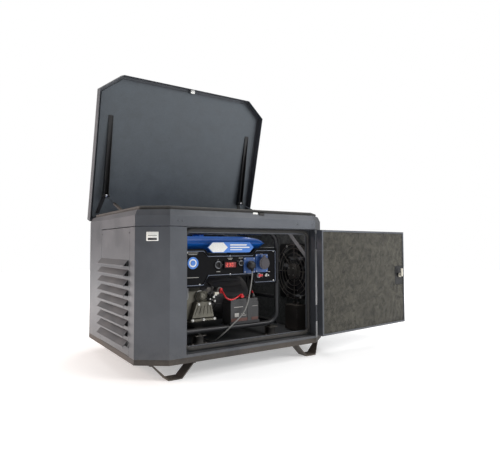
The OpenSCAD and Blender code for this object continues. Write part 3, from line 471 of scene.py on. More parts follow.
def worn_finish(name, color, roughness=0.45, metallic=0.0, coat=0.0, grain=900.0, relief=0.25, depth=0.0004,
                dust=0.4, dust_color=(0.30, 0.27, 0.23), wear=0.35, wear_color=(0.42, 0.42, 0.42),
                patch=0.16, waviness=0.4, wave=12.0, patch_scale=6.0, edges=True, specular=0.5):
    """Painted, cast or moulded finish: toned patches, flecks, dust, and edges rubbed paler."""
    m, tree, bsdf = principled(name)
    g = group_node(tree, "Fine Grain", Grain_Scale=grain, Waviness=waviness, Wave_Scale=wave)
    p = group_node(tree, "Patina", Patch_Scale=patch_scale, Dust=dust)
    color = tuple(color)
    dark = tuple(c * (1 - patch * 1.6) for c in color)
    light = tuple(min(1.0, c * (1 + patch * 1.6)) for c in color)
    base = mix_color(tree, remap(tree, p.outputs["Patch"], 0.3, 0.7), dark, light)
    fleck = remap(tree, g.outputs["Fleck"], 0.35, 0.65, 0.86, 1.14)
    tone = tree.nodes.new("ShaderNodeCombineColor")
    for k in range(3):
        tree.links.new(fleck, tone.inputs[k])
    base = mix_color(tree, 1.0, base, tone.outputs[0], "MULTIPLY")
    normal = None
    if edges:
        e = group_node(tree, "Edge Wear", Amount=wear)
        base = mix_color(tree, e.outputs["Mask"], base, tuple(wear_color))
        normal = e.outputs["Normal"]
    base = mix_color(tree, p.outputs["Dust"], base, tuple(dust_color))
    tree.links.new(base, bsdf.inputs["Base Color"])
    rough = remap(tree, p.outputs["Patch"], 0.3, 0.7, roughness * 0.86, roughness * 1.16)
    rough = math_node(tree, "ADD", rough, math_node(tree, "MULTIPLY", p.outputs["Dust"], 0.35), True)
    tree.links.new(rough, bsdf.inputs["Roughness"])
    bsdf.inputs["Metallic"].default_value = metallic
    bsdf.inputs["Coat Weight"].default_value = coat
    bsdf.inputs["Coat Roughness"].default_value = 0.12
    bsdf.inputs["Specular IOR Level"].default_value = specular
    set_bump(tree, bsdf, g.outputs["Height"], relief, depth, normal)
    return m


def felt_finish(name, color, light, tuft=60.0):
    """Mottled needle felt: dull, with pale and dark tufts and a fibre relief."""
    m, tree, bsdf = principled(name)
    f = group_node(tree, "Felt Fibre", Tuft_Scale=tuft)
    p = group_node(tree, "Patina", Patch_Scale=5.0, Dust=0.25)
    base = mix_color(tree, remap(tree, f.outputs["Tuft"], 0.36, 0.64), tuple(c * 0.55 for c in color), light)
    base = mix_color(tree, remap(tree, f.outputs["Speck"], 0.52, 0.72), base, tuple(c * 0.38 for c in color))
    base = mix_color(tree, remap(tree, p.outputs["Patch"], 0.35, 0.8, 0.0, 0.5), base, color)
    tree.links.new(base, bsdf.inputs["Base Color"])
    bsdf.inputs["Roughness"].default_value = 0.95
    bsdf.inputs["Sheen Weight"].default_value = 0.25
    bsdf.inputs["Specular IOR Level"].default_value = 0.2
    set_bump(tree, bsdf, f.outputs["Height"], 0.7, 0.0016)
    return m


def bright_metal(name, color, roughness=0.28, brushed=(400.0, 400.0, 20.0), stain=0.25):
    """Plated or polished steel: fine brushing, and stains that dull it in patches."""
    m, tree, bsdf = principled(name)
    v = tree.nodes.new("ShaderNodeMapping")
    v.inputs["Scale"].default_value = brushed
    tree.links.new(object_vector(tree), v.inputs["Vector"])
    lines = noise(tree, v.outputs[0], 1.0, 3.0, 0.6)
    p = group_node(tree, "Patina", Patch_Scale=30.0, Dust=0.2)
    mark = remap(tree, p.outputs["Patch"], 0.45, 0.75, 0.0, stain)
    tree.links.new(mix_color(tree, mark, color, tuple(c * 0.45 for c in color)), bsdf.inputs["Base Color"])
    rough = math_node(tree, "ADD", remap(tree, lines, 0.3, 0.7, roughness * 0.75, roughness * 1.25),
                      math_node(tree, "MULTIPLY", mark, 0.5), True)
    tree.links.new(rough, bsdf.inputs["Roughness"])
    bsdf.inputs["Metallic"].default_value = 1.0
    set_bump(tree, bsdf, lines, 0.12, 0.0002)
    return m


def glow_finish(name, color, strength):
    """A lit display segment."""
    m, tree, bsdf = principled(name)
    flicker = remap(tree, noise(tree, object_vector(tree), 300.0), 0.3, 0.7, 0.8, 1.0)
    tree.links.new(mix_color(tree, flicker, tuple(c * 0.6 for c in color), color), bsdf.inputs["Base Color"])
    bsdf.inputs["Emission Color"].default_value = (*color, 1.0)
    bsdf.inputs["Emission Strength"].default_value = strength
    bsdf.inputs["Roughness"].default_value = 0.3
    return m


def make_materials(looks):
    """All finishes of the cabinet and the set, from the colours in the sidebar."""
    paint = tuple(looks.paint_color)
    worn_finish("cabinet paint", paint, 0.36, metallic=0.35, grain=1400.0, relief=0.35, dust=looks.dust,
                wear=looks.wear, patch=0.10, dust_color=(0.26, 0.24, 0.21), wear_color=(0.34, 0.35, 0.37))
    worn_finish("liner metal", tuple(looks.liner_color), 0.55, metallic=0.2, grain=260.0, relief=0.35,
                dust=0.15, wear=0.2, patch=0.10, patch_scale=14.0)
    # the brace's pale grey is painted light: it stands in for light falling on the corner from the open top
    worn_finish("brace painted light", (0.26, 0.265, 0.28), 0.42, metallic=0.3, grain=900.0, dust=0.3)
    worn_finish("base paint", (0.030, 0.026, 0.024), 0.6, grain=700.0, dust=0.7,
                dust_color=(0.17, 0.14, 0.11))
    worn_finish("black metal", (0.009, 0.009, 0.010), 0.42, grain=1000.0, dust=0.25, wear=0.25, specular=0.35)
    worn_finish("seal rubber", (0.030, 0.029, 0.028), 0.72, grain=500.0, relief=0.3, dust=0.55,
                dust_color=(0.22, 0.20, 0.17), wear=0.1, wear_color=(0.1, 0.1, 0.1))
    worn_finish("frame paint", (0.024, 0.025, 0.028), 0.28, metallic=0.2, grain=1100.0, dust=0.15, wear=0.3,
                specular=0.3)
    worn_finish("tank paint", tuple(looks.tank_color), 0.36, coat=0.2, grain=1500.0, relief=0.08, dust=0.04,
                wear=0.15, specular=0.35, patch=0.06, wear_color=(0.25, 0.35, 0.5))
    worn_finish("panel paint", (0.0035, 0.0036, 0.0046), 0.5, grain=1200.0, relief=0.3, dust=0.02, wear=0.12,
                wear_color=(0.16, 0.17, 0.2), specular=0.09)
    worn_finish("panel trim", (0.16, 0.19, 0.26), 0.4, grain=1200.0, dust=0.1, wear=0.0)
    worn_finish("fitting trim", (0.28, 0.29, 0.31), 0.38, metallic=0.5, grain=900.0, dust=0.1, wear=0.1)
    worn_finish("badge blue", (0.055, 0.20, 0.62), 0.3, coat=0.5, grain=900.0, relief=0.05, dust=0.05,
                wear=0.0, patch=0.04)
    worn_finish("badge white", (0.78, 0.79, 0.76), 0.35, coat=0.4, grain=900.0, relief=0.05, dust=0.05,
                wear=0.0, patch=0.02)
    worn_finish("socket blue", (0.030, 0.085, 0.26), 0.35, grain=800.0, relief=0.12, dust=0.1, wear=0.15,
                wear_color=(0.1, 0.2, 0.4))
    worn_finish("knob plastic", (0.010, 0.0095, 0.011), 0.42, grain=700.0, relief=0.25, dust=0.12, wear=0.1,
                wear_color=(0.08, 0.08, 0.08), specular=0.35)
    worn_finish("flap plastic", (0.045, 0.040, 0.050), 0.4, grain=700.0, relief=0.2, dust=0.2, wear=0.2,
                wear_color=(0.12, 0.12, 0.13))
    worn_finish("red plastic", (0.55, 0.015, 0.02), 0.3, coat=0.4, grain=800.0, relief=0.08, dust=0.05,
                wear=0.0)
    worn_finish("cast alloy", (0.105, 0.100, 0.080), 0.48, metallic=0.45, grain=420.0, relief=0.8,
                depth=0.0008, dust=0.4, dust_color=(0.13, 0.115, 0.09), wear=0.6,
                wear_color=(0.55, 0.54, 0.5), patch=0.22, patch_scale=18.0)
    worn_finish("dull steel", (0.17, 0.16, 0.15), 0.5, metallic=0.8, grain=500.0, relief=0.4, dust=0.5,
                wear=0.5, patch=0.25, patch_scale=12.0)
    worn_finish("alternator paint", (0.10, 0.10, 0.105), 0.5, metallic=0.5, grain=450.0, relief=0.6, dust=0.5,
                wear=0.4)
    worn_finish("battery case", (0.030, 0.030, 0.032), 0.38, grain=600.0, relief=0.3, dust=0.3, wear=0.2)
    worn_finish("label ink", (0.42, 0.41, 0.39), 0.5, grain=900.0, relief=0.05, dust=0.1, wear=0.0)
    worn_finish("battery band", (0.085, 0.028, 0.020), 0.4, grain=600.0, relief=0.1, dust=0.2, wear=0.0)
    worn_finish("cable red", (0.60, 0.015, 0.022), 0.35, grain=600.0, relief=0.1, dust=0.08, wear=0.0)
    worn_finish("cable black", (0.012, 0.012, 0.012), 0.45, grain=600.0, relief=0.1, dust=0.15, wear=0.0)
    worn_finish("lead sheath", (0.22, 0.22, 0.21), 0.42, grain=700.0, relief=0.12, dust=0.2, wear=0.0,
                patch=0.08)
    worn_finish("cream alloy", (0.56, 0.53, 0.45), 0.38, metallic=0.3, grain=700.0, relief=0.2, dust=0.15)
    felt_finish("wall felt", (0.060, 0.066, 0.068), (0.115, 0.122, 0.120), 45.0)
    felt_finish("door felt", tuple(looks.felt_color), tuple(c * 2.5 for c in looks.felt_color), 26.0)
    bright_metal("zinc steel", (0.62, 0.62, 0.60), 0.3)
    bright_metal("chrome rod", (0.80, 0.80, 0.82), 0.1, stain=0.08)
    glow_finish("display dim", (0.16, 0.008, 0.010), 0.25)
    glow_finish("display lit", (0.85, 0.10, 0.07), 0.9)


# ---------- shared places and shapes of this set ----------

# Cabinet: half width, half depth and rim from the frame, then the two corners of its front chamfer
HALF_W, HALF_D, RIM_Z = node_box("top_rim")[1]
FRONT_X, SIDE_Y = 419.0, -322.0
# Underside of the shut lid's liner, where the rim's seal ends
LINER_Z = 759.0
# Turning parts
FAN, KNOB, SELECTOR, CAP = (pivot(j) for j in ("fan_spin", "ignition_turn", "selector_turn", "fuel_cap_turn"))
# Control panel: its face plane, the sockets on it, and the places of meter, emblem and lower row in X and Z
PANEL_Y = KNOB[1]
FACE_Y = PANEL_Y + 2
SOCKET_SMALL, SOCKET_LARGE, FUSE = (middle(n)[[0, 2]] for n in ("socket_16a", "socket_32a", "fuse_button"))
METER = np.array([-27.0, 484.0])
EMBLEM = np.array([-237.0, 497.0])
LAMP_X, EARTH_X, LOW_ROW_Z = 168.0, 198.0, 424.0
# Latch of the shut door, and the plug's seat in the small socket
LATCH = np.array([-284.0, -418.0, 396.5])
PLUG = np.array([88.0, -273.0, 479.0])


def cabinet_plan(inset):
    """Corners of the cabinet's plan, each moved in so that every side shifts by the inset."""
    cx, cy = HALF_W - FRONT_X, HALF_D + SIDE_Y
    diag = math.hypot(cx, cy)
    ix, iy = (diag - cx) / cy, (diag - cy) / cx
    half = [(HALF_W - inset, HALF_D - inset), (HALF_W - inset, SIDE_Y + iy * inset),
            (FRONT_X - ix * inset, -HALF_D + inset)]
    return np.array(half + [(-x, y) for x, y in half[::-1]])


def round_corners(corners, radius, steps=7):
    """A closed polygon with each corner an arc tangent to both sides; gives points and outward normals."""
    points, normals = [], []
    n = len(corners)
    for i in range(n):
        a, b, c = corners[i - 1], corners[i], corners[(i + 1) % n]
        u = (a - b) / np.linalg.norm(a - b)
        v = (c - b) / np.linalg.norm(c - b)
        half = math.acos(np.clip(u @ v, -1, 1)) / 2
        centre = b + (u + v) / np.linalg.norm(u + v) * radius / math.sin(half)
        start = b + u * radius / math.tan(half) - centre
        end = b + v * radius / math.tan(half) - centre
        t = np.linspace(0, 1, steps)[:, None]
        ray = start * (1 - t) + end * t
        ray /= np.linalg.norm(ray, axis=1)[:, None]
        points.append(centre + radius * ray)
        normals.append(ray)
    return np.concatenate(points), np.concatenate(normals)


def swept(points, normals, up, profile):
    """A closed profile of (outwards, upwards) carried round a closed line: p + o n + h up."""
    profile = np.array(profile, float)
    rings = (points[:, None] + profile[None, :, 0, None] * normals[:, None]
             + profile[None, :, 1, None] * np.array(up, float))
    return shell(rings, close_rows=True)


def bulb(width, height, base=4.0, steps=14):
    """Section of a rubber seal: a flat clip foot with a round hollow-looking bulb on it, pinched between."""
    a = np.linspace(-0.28 * math.pi, 1.28 * math.pi, steps)
    r = width / 2
    ry = (height - base) / (1 + math.sin(0.28 * math.pi))
    cy = height - ry
    top = np.stack([r * np.cos(a), cy + ry * np.sin(a)], -1)
    foot = np.array([(-r * 0.96, base * 0.85), (-r, base * 0.2), (-r * 0.92, 0), (r * 0.92, 0),
                     (r, base * 0.2), (r * 0.96, base * 0.85)])
    return np.vstack([top, foot])


def pad(outer, hole, centre, thick, bumps, seed, round_hole=False, rays=240, rows=46):
    """Felt pad with a hole, as rings from the hole out to the edge on evenly turned rays.

    Each ray runs from the hole's outline to the pad's, whose distances are min(h / |cos|, h / |sin|);
    the face dips by a quarter circle near both edges and ripples in between. Gives rings of (a, b, depth).
    """
    (a0, b0), (a1, b1) = outer
    ca, cb = centre
    corners = [math.atan2(b - cb, a - ca) for a in (a0, a1) for b in (b0, b1)]
    if not round_hole:
        corners += [math.atan2(b, a) for a in (hole[0], -hole[1]) for b in (hole[2], -hole[3])]
    angle = np.unique(np.round(np.mod(np.concatenate([np.linspace(0, 2 * math.pi, rays, endpoint=False),
                                                      corners]), 2 * math.pi), 7))
    c, s = np.cos(angle), np.sin(angle)
    tiny = 1e-9

    def reach(east, west, north, south):
        across = np.where(c > 0, east, west) / np.maximum(np.abs(c), tiny)
        along = np.where(s > 0, north, south) / np.maximum(np.abs(s), tiny)
        return np.minimum(across, along)

    far = reach(a1 - ca, ca - a0, b1 - cb, cb - b0)
    near = np.full_like(far, hole) if round_hole else reach(*hole)
    t = 0.5 - 0.5 * np.cos(math.pi * np.linspace(0, 1, rows))
    length = far - near
    d = near[None] + t[:, None] * length[None]
    a, b = ca + d * c[None], cb + d * s[None]
    edge = np.minimum(t[:, None] * length, (1 - t[:, None]) * length)
    radius = min(5.0, thick * 0.4)
    lean = 1 - np.clip(edge / radius, 0, 1)
    dip = radius * (1 - np.sqrt(np.maximum(0, 1 - lean ** 2)))
    swell = np.clip(edge / 14.0, 0, 1)
    depth = dip + bumps * swell * (0.5 + 0.5 * np.tanh(ripple(a, b, 40, 34.0, seed)))
    front = np.stack([a, b, depth], -1)
    back = np.full_like(a[:1], thick)
    return np.concatenate([np.stack([a[:1], b[:1], back], -1), front,
                           np.stack([a[-1:], b[-1:], back], -1)])


def prism(outline, y_back, y_front, bevel=0.8):
    """A flat shape in X and Z standing out towards -Y, its front edge cut back by a small bevel."""
    o = np.array(outline, float)
    mid = o.mean(0)
    size = np.abs(o - mid).max(0)
    inner = mid + (o - mid) * (1 - bevel / size)
    rows = [(o, y_back), (o, y_front + bevel), (inner, y_front)]
    return shell(np.stack([np.stack([p[:, 0], np.full(len(p), y), p[:, 1]], -1) for p, y in rows]))


def frame_ring(half_w, half_h, corner, wide, y_back, y_front, centre):
    """A rectangular ring standing out towards -Y, with rounded rims outside and in."""
    e = 1.2
    rows = [(0, y_back), (0, y_front + e), (e * 0.3, y_front + e * 0.3), (e, y_front),
            (wide - e, y_front), (wide - e * 0.3, y_front + e * 0.3), (wide, y_front + e), (wide, y_back)]
    rings = []
    for inset, y in rows:
        o = round_rect(half_w - inset, half_h - inset, max(0.6, corner - inset), 6)
        rings.append(np.stack([o[:, 0] + centre[0], np.full(len(o), y), o[:, 1] + centre[1]], -1))
    return shell(np.stack(rings), close_rows=True)


def ring_lathe(profile, base, direction, sides=40):
    """A closed profile of (radius, height) turned round an axis, with a hole through it."""
    p = np.array(profile, float)
    d = np.array(direction, float)
    u, v = axes_of(d)
    a = 2 * math.pi * np.arange(sides) / sides
    spoke = np.cos(a)[:, None] * u + np.sin(a)[:, None] * v
    rings = np.array(base, float) + p[:, 1, None, None] * d + p[:, 0, None, None] * spoke[None]
    return shell(rings, close_rows=True)


def pan_head(base, direction, radius, height):
    """Screw with a domed head: radius r cos a, height h sin a, and a shallow dish in the middle."""
    a = np.linspace(0, math.pi / 2, 5)
    dome = [(radius * math.cos(t), height * (0.25 + 0.75 * math.sin(t))) for t in a[:-1]]
    return lathe([(radius, 0)] + dome + [(radius * 0.3, height), (radius * 0.24, height * 0.55)],
                 base, direction, 20)


# ---------- sidebar values ----------

class GeneratorLooks(bpy.types.PropertyGroup):
    """Colours and wear of the cabinet and the set."""

    paint_color: bpy.props.FloatVectorProperty(
        name="Cabinet Paint", description="Powder coat of the cabinet", subtype="COLOR", size=3,
        default=(0.074, 0.080, 0.092), min=0, max=1)
    liner_color: bpy.props.FloatVectorProperty(
        name="Lid Liner", description="Coated liner sheet inside the lid", subtype="COLOR", size=3,
        default=(0.062, 0.074, 0.086), min=0, max=1)
    tank_color: bpy.props.FloatVectorProperty(
        name="Fuel Tank", description="Gloss paint of the fuel tank", subtype="COLOR", size=3,
        default=(0.006, 0.105, 0.46), min=0, max=1)
    felt_color: bpy.props.FloatVectorProperty(
        name="Door Felt", description="Needle felt on the inside of the door", subtype="COLOR", size=3,
        default=(0.034, 0.032, 0.025), min=0, max=1)
    dust: bpy.props.FloatProperty(
        name="Dust", description="How much dust lies on faces that look up and near the ground",
        subtype="FACTOR", default=0.35, min=0, max=1)
    wear: bpy.props.FloatProperty(
        name="Edge Wear", description="How far the paint is rubbed along edges", subtype="FACTOR",
        default=0.35, min=0, max=1)


class GeneratorSizes(bpy.types.PropertyGroup):
    """Sizes of the added pieces."""

    lead_diameter: bpy.props.FloatProperty(
        name="Lead Diameter", description="Outer diameter of the round mains lead", unit="LENGTH",
        default=0.007, min=0.004, max=0.02)
    felt_bumps: bpy.props.FloatProperty(
        name="Felt Bumps", description="Height of the lumps in the felt", unit="LENGTH",
        default=0.0022, min=0, max=0.005)
    seal_foot: bpy.props.FloatProperty(
        name="Seal Foot", description="Height of the clip foot under the seals' bulbs", unit="LENGTH",
        default=0.004, min=0.001, max=0.008)
    blade_camber: bpy.props.FloatProperty(
        name="Blade Camber", description="Hollow of a fan blade across its chord", unit="LENGTH",
        default=0.006, min=0, max=0.012)
    floor_reach: bpy.props.FloatProperty(
        name="Floor Reach", description="How far the floor goes from the cabinet", unit="LENGTH",
        default=9.0, min=3, max=20)


# ---------- operators ----------

class GENERATOR_OT_stage(bpy.types.Operator):
    """Camera, pale floor and soft studio light"""

    bl_idname = "generator.stage"
    bl_label = "Stage"

    def execute(self, context):
        scene = context.scene
        camera = bpy.data.objects.new("camera", bpy.data.cameras.new("camera"))
        camera.location = (-1.2200, -2.2412, 0.5789)
        heading, pitch, roll = math.radians(-33.75), math.radians(90 + 2.66), math.radians(-0.15)
        turned = (Euler((0, 0, heading)).to_matrix() @ Euler((pitch, 0, 0)).to_matrix()
                  @ Euler((0, 0, roll)).to_matrix())
        camera.rotation_euler = turned.to_euler()
        camera.data.sensor_width = 36.0
        camera.data.lens = 32.51
        scene.collection.objects.link(camera)
        scene.camera = camera

        reach = scene.generator_sizes.floor_reach / MM
        side = np.linspace(-1, 1, 21) * reach
        x, y = np.meshgrid(side, side)
        flat = np.stack([x, y, 0 * x], -1).reshape(-1, 3)
        mesh = bpy.data.meshes.new("floor")
        mesh.from_pydata((flat * MM).tolist(), [], grid_faces(21, 21, close_cols=False).tolist())
        floor = bpy.data.objects.new("floor", mesh)
        scene.collection.objects.link(floor)
        m, tree, bsdf = principled("pale floor")
        soft = remap(tree, noise(tree, object_vector(tree), 2.0), 0.3, 0.7)
        pale = mix_color(tree, soft, (0.80, 0.80, 0.80), (0.83, 0.83, 0.83))
        tree.links.new(pale, bsdf.inputs["Base Color"])
        bsdf.inputs["Roughness"].default_value = 0.75
        bsdf.inputs["Specular IOR Level"].default_value = 0.25
        # glows more with distance, so that the floor runs into the white backdrop
        away = tree.nodes.new("ShaderNodeVectorMath")
        away.operation = "LENGTH"
        tree.links.new(object_vector(tree), away.inputs[0])
        far = remap(tree, away.outputs["Value"], 0.9, 3.2)
        glow = mix_color(tree, far, (0.36, 0.36, 0.36), (1.0, 1.0, 1.0))
        tree.links.new(glow, bsdf.inputs["Emission Color"])
        bsdf.inputs["Emission Strength"].default_value = 1.0
        mesh.materials.append(m)

        lights = [("key", (2.2, -3.6, 2.7), 2.6, 92, (1.0, 0.99, 0.98)),
                  ("fill", (3.0, -2.6, 1.5), 2.2, 22, (0.95, 0.97, 1.0)),
                  ("top", (0.2, 0.2, 3.8), 2.2, 52, (1.0, 1.0, 1.0)),
                  ("left", (-3.4, 2.0, 1.4), 2.0, 135, (1.0, 0.82, 0.74)),
                  ("rim", (1.6, 3.0, 2.2), 1.8, 30, (0.98, 0.99, 1.0))]
        for name, place, size, power, tint in lights:
            data = bpy.data.lights.new(name, "AREA")
            data.shape, data.size, data.energy, data.color = "DISK", size, power, tint
            light = bpy.data.objects.new(name, data)
            light.location = place
            aim = np.array([0.0, 0.0, 0.4]) - np.array(place)
            yaw = math.atan2(aim[1], aim[0])
            drop = math.atan2(-aim[2], math.hypot(aim[0], aim[1]))
            light.rotation_euler = (math.radians(90) - drop, 0, yaw - math.radians(90))
            scene.collection.objects.link(light)
        world = bpy.data.worlds.new("soft white")
        world.use_nodes = True
        nodes, links = world.node_tree.nodes, world.node_tree.links
        nodes["Background"].inputs[0].default_value = (1.0, 1.0, 1.0, 1.0)
        seen = nodes.new("ShaderNodeLightPath").outputs["Is Camera Ray"]
        links.new(remap(world.node_tree, seen, 0, 1, 0.35, 1.0), nodes["Background"].inputs[1])
        scene.world = world
        scene.view_settings.view_transform = "Standard"
        scene.view_settings.look = "None"
        return {"FINISHED"}


class GENERATOR_OT_lead(bpy.types.Operator):
    """Mains lead from the gland to the plug, with the plug and its strain relief"""

    bl_idname = "generator.lead"
    bl_label = "Mains Lead"

    def execute(self, context):
        # the CAD lead's points: down from the plug's boot, along the floor and up into the gland
        route = [(88, -304, 450), (88, -304, 440), (87, -303, 425), (83, -301, 385), (74, -299, 335),
                 (62, -297, 285), (48, -294, 252), (30, -292, 228), (8, -290, 208), (-20, -286, 184),
                 (-48, -281, 160), (-72, -271, 137), (-88, -251, 117), (-95, -222, 102), (-98, -185, 96),
                 (-99, -140, 95.6), (-100, -80, 95.6), (-100, 0, 95.6), (-100, 80, 95.6),
                 (-100, 160, 95.6), (-100, 240, 95.6), (-100, 300, 96), (-100, 334, 102),
                 (-100, 356, 114), (-100, 372, 127), (-100, 386, 137), (-100, 400, 140)]
        path = smooth_path(route[::-1], 4)
        diameter = context.scene.generator_sizes.lead_diameter
        lead = add_piece("mains_lead", tube(path, diameter / MM / 2, 14), "cabinet",
                         MATERIALS["lead sheath"], replaces=["power_cord"])
        x, y, z = PLUG
        out = (0, -1, 0)
        # head of the plug as (radius, distance out), with five grip rings
        body = [(19.4, 4.5), (19.4, 12.6), (22.4, 12.6), (22.9, 13.4)]
        for k in range(5):
            h = 15.0 + k * 2.7
            body += [(22.9, h), (21.9, h + 0.5), (21.9, h + 1.1), (22.9, h + 1.6)]
        body += [(22.8, 29.0), (21.6, 31.0), (18.6, 35.2), (16.2, 37.8), (14.4, 39.1), (4.0, 39.3)]
        # strain relief as (radius, height), widening upwards in six ribs
        neck = [(3.6, -31.0), (7.0, -29.6)]
        for k in range(6):
            h = -29.0 + k * 2.6
            r = 7.5 + k * 0.62
            neck += [(r, h), (r, h + 1.6), (r - 0.9, h + 1.9), (r - 0.9, h + 2.4)]
        neck += [(10.8, -12.8), (10.9, -8.6), (9.0, -8.2)]
        grips = [soft_box((1.4, 16, 20), 0.6, (x + s * 22.6, y - 21, z), "z") for s in (-1, 1)]
        shape = join(lathe(body, (x, y, z), out, 56),
                     lathe(neck, (x, y - 31, z), (0, 0, 1), 28), *grips)
        plug = add_piece("mains_plug", shape, "cabinet", MATERIALS["knob plastic"],
                         replaces=["power_plug"])
        return {"FINISHED"}


class GENERATOR_OT_finishes(bpy.types.Operator):
    """Materials of every CAD part that is carried over"""

    bl_idname = "generator.finishes"
    bl_label = "Finishes"

    def execute(self, context):
        make_materials(context.scene.generator_looks)
        by_finish = {
            "cabinet paint": ["floor_pan", "front_post_left", "front_post_right", "rear_shell",
                              "louvre_panel_left", "louvre_panel_right", "top_rim", "door_surround",
                              "door_hinge_bases", "door_hinge_leaves", "lid_shell",
                              "door_shell"],
            # the brace's pale grey is painted light, for light falling on the corner from the open top
            "brace painted light": ["corner_brace"],
            "base paint": ["base_frame", "feet", "junction_box"],
            "black metal": ["fan_shroud", "lid_hinge_bases", "blower_housing", "lid_arms",
                            "lid_hinge_leaves", "gas_cylinder_left", "gas_cylinder_right",
                            "door_latch_plate"],
            "zinc steel": ["rim_fittings", "lid_catch"],
            "dull steel": ["exhaust_pipe", "muffler", "fan_guard"],
            "knob plastic": ["cable_gland", "fuel_cap", "ignition_switch", "voltage_selector",
                             "air_cleaner", "door_handle", "power_plug", "fan_rotor"],
            "flap plastic": ["socket_flap"],
            "frame paint": ["genset_frame"],
            "tank paint": ["fuel_tank"],
            "panel paint": ["control_panel"],
            "fitting trim": ["panel_fittings"],
            "red plastic": ["fuse_button"],
            "socket blue": ["socket_16a", "socket_32a"],
            "lead sheath": ["power_cord"],
            "cast alloy": ["engine_block", "engine_cylinder", "rocker_cover"],
            "alternator paint": ["alternator"],
            "battery case": ["battery"],
            "cable red": ["battery_cables"],
            "liner metal": ["lid_liner"],
            "chrome rod": ["gas_rod_left", "gas_rod_right"],
            "cream alloy": ["door_latch_cam"],
            "seal rubber": ["rubber_seals", "rubber_mounts"],
            "wall felt": ["acoustic_lining"],
            "door felt": ["door_lining"],
        }
        for finish, nodes in by_finish.items():
            finish_nodes(MATERIALS[finish], *nodes)
        left = set(frame["nodes"]) - {n for nodes in by_finish.values() for n in nodes}
        if left:
            raise RuntimeError("no finish for " + ", ".join(sorted(left)))
        return {"FINISHED"}


class GENERATOR_OT_tank(bpy.types.Operator):
    """Pressed fuel tank: rounded pan, seam flange, domed top and filler neck"""

    bl_idname = "generator.tank"
    bl_label = "Fuel Tank"

    def execute(self, context):
        # each ring: middle in Y, half width, half depth, corner radius and height
        rings = [(-34, 235, 145, 40, 545.2), (-34, 256, 166, 44, 546.2), (-34, 262, 171.5, 47, 549.5),
                 (-34.6, 265.5, 175, 49, 555), (-37, 272, 183, 50, 564), (-43, 284, 197, 53, 581),
                 (-46, 288.5, 202.5, 54, 588), (-46, 289.8, 203.8, 54, 591.2), (-46, 294.2, 208.8, 59, 591.8),
                 (-46, 295.4, 209.9, 60, 593), (-46, 295.4, 209.9, 60, 595), (-46, 294.2, 208.8, 59, 596.2),
                 (-46, 289.3, 203, 54, 596.8), (-46, 287.5, 201.5, 54, 600), (-46, 282, 197, 56, 607),
                 (-46, 272, 187.5, 58, 613.6), (-46, 257, 173, 60, 619.4), (-46, 238, 155, 62, 624.6),
                 (-46, 218, 136, 62, 627.8), (-46, 190, 110, 60, 629.4), (-46, 120, 60, 40, 629.9)]
        cx, wider = middle("fuel_tank")[0], 11.5
        outlines = np.stack([round_rect(a + wider, b, r, 10) for _, a, b, r, _ in rings])
        cy = np.array([r[0] for r in rings])[:, None]
        z = np.array([r[4] for r in rings])[:, None] + 0 * outlines[..., 0]
        skin = shell(np.stack([outlines[..., 0] + cx, outlines[..., 1] + cy, z], -1))
        neck = lathe([(36, 0), (35.4, 1.2), (31.4, 2.2), (30, 4), (29.6, 9), (30.6, 10.2), (30.8, 11.2),
                      (29.8, 12)], CAP - (0, 0, 12), (0, 0, 1), 48)
        add_piece("tank_skin", join(skin, neck), "cabinet", MATERIALS["tank paint"],
                  smooth_below=50, replaces=["fuel_tank"])
        return {"FINISHED"}


class GENERATOR_OT_felts(bpy.types.Operator):
    """Felt pads on the walls and in the door"""

    bl_idname = "generator.felts"
    bl_label = "Felt Linings"

    def execute(self, context):
        bumps = context.scene.generator_sizes.felt_bumps / MM
        a, b, depth = np.moveaxis(pad(((-300, 93), (398, 664)), 154.0, (FAN[1], FAN[2]), 14, bumps, 3, True),
                                  -1, 0)
        walls = [shell(np.stack([514 + depth, a, b], -1), close_rows=True)]
        for a0, a1, hole, centre, seed in ((-523, 54, 24.0, (-100, 140), 5), (56, 513, 30.0, (210, 470), 6)):
            a, b, depth = np.moveaxis(pad(((a0, 109), (a1, 692)), hole, centre, 14, bumps, seed, True), -1, 0)
            walls.append(shell(np.stack([a, 402 + depth, b], -1), close_rows=True))
        wall_felt = add_piece("wall_felt", join(*walls), "cabinet", MATERIALS["wall felt"],
                              smooth_below=60, replaces=["acoustic_lining"])
        lx, lz = LATCH[0] + 1, LATCH[2]
        a, b, depth = np.moveaxis(pad(((-333, 108), (412.5, 660)), (39, 39, 56, 56), (lx, lz), 32, bumps, 9),
                                  -1, 0)
        shut, faces = shell(np.stack([a, -383 - depth, b], -1), close_rows=True)
        door_felt = add_piece("door_felt", (opened("door_hinge", shut), faces), "door",
                              MATERIALS["door felt"], smooth_below=60,
                              replaces=["door_lining"])
        return {"FINISHED"}


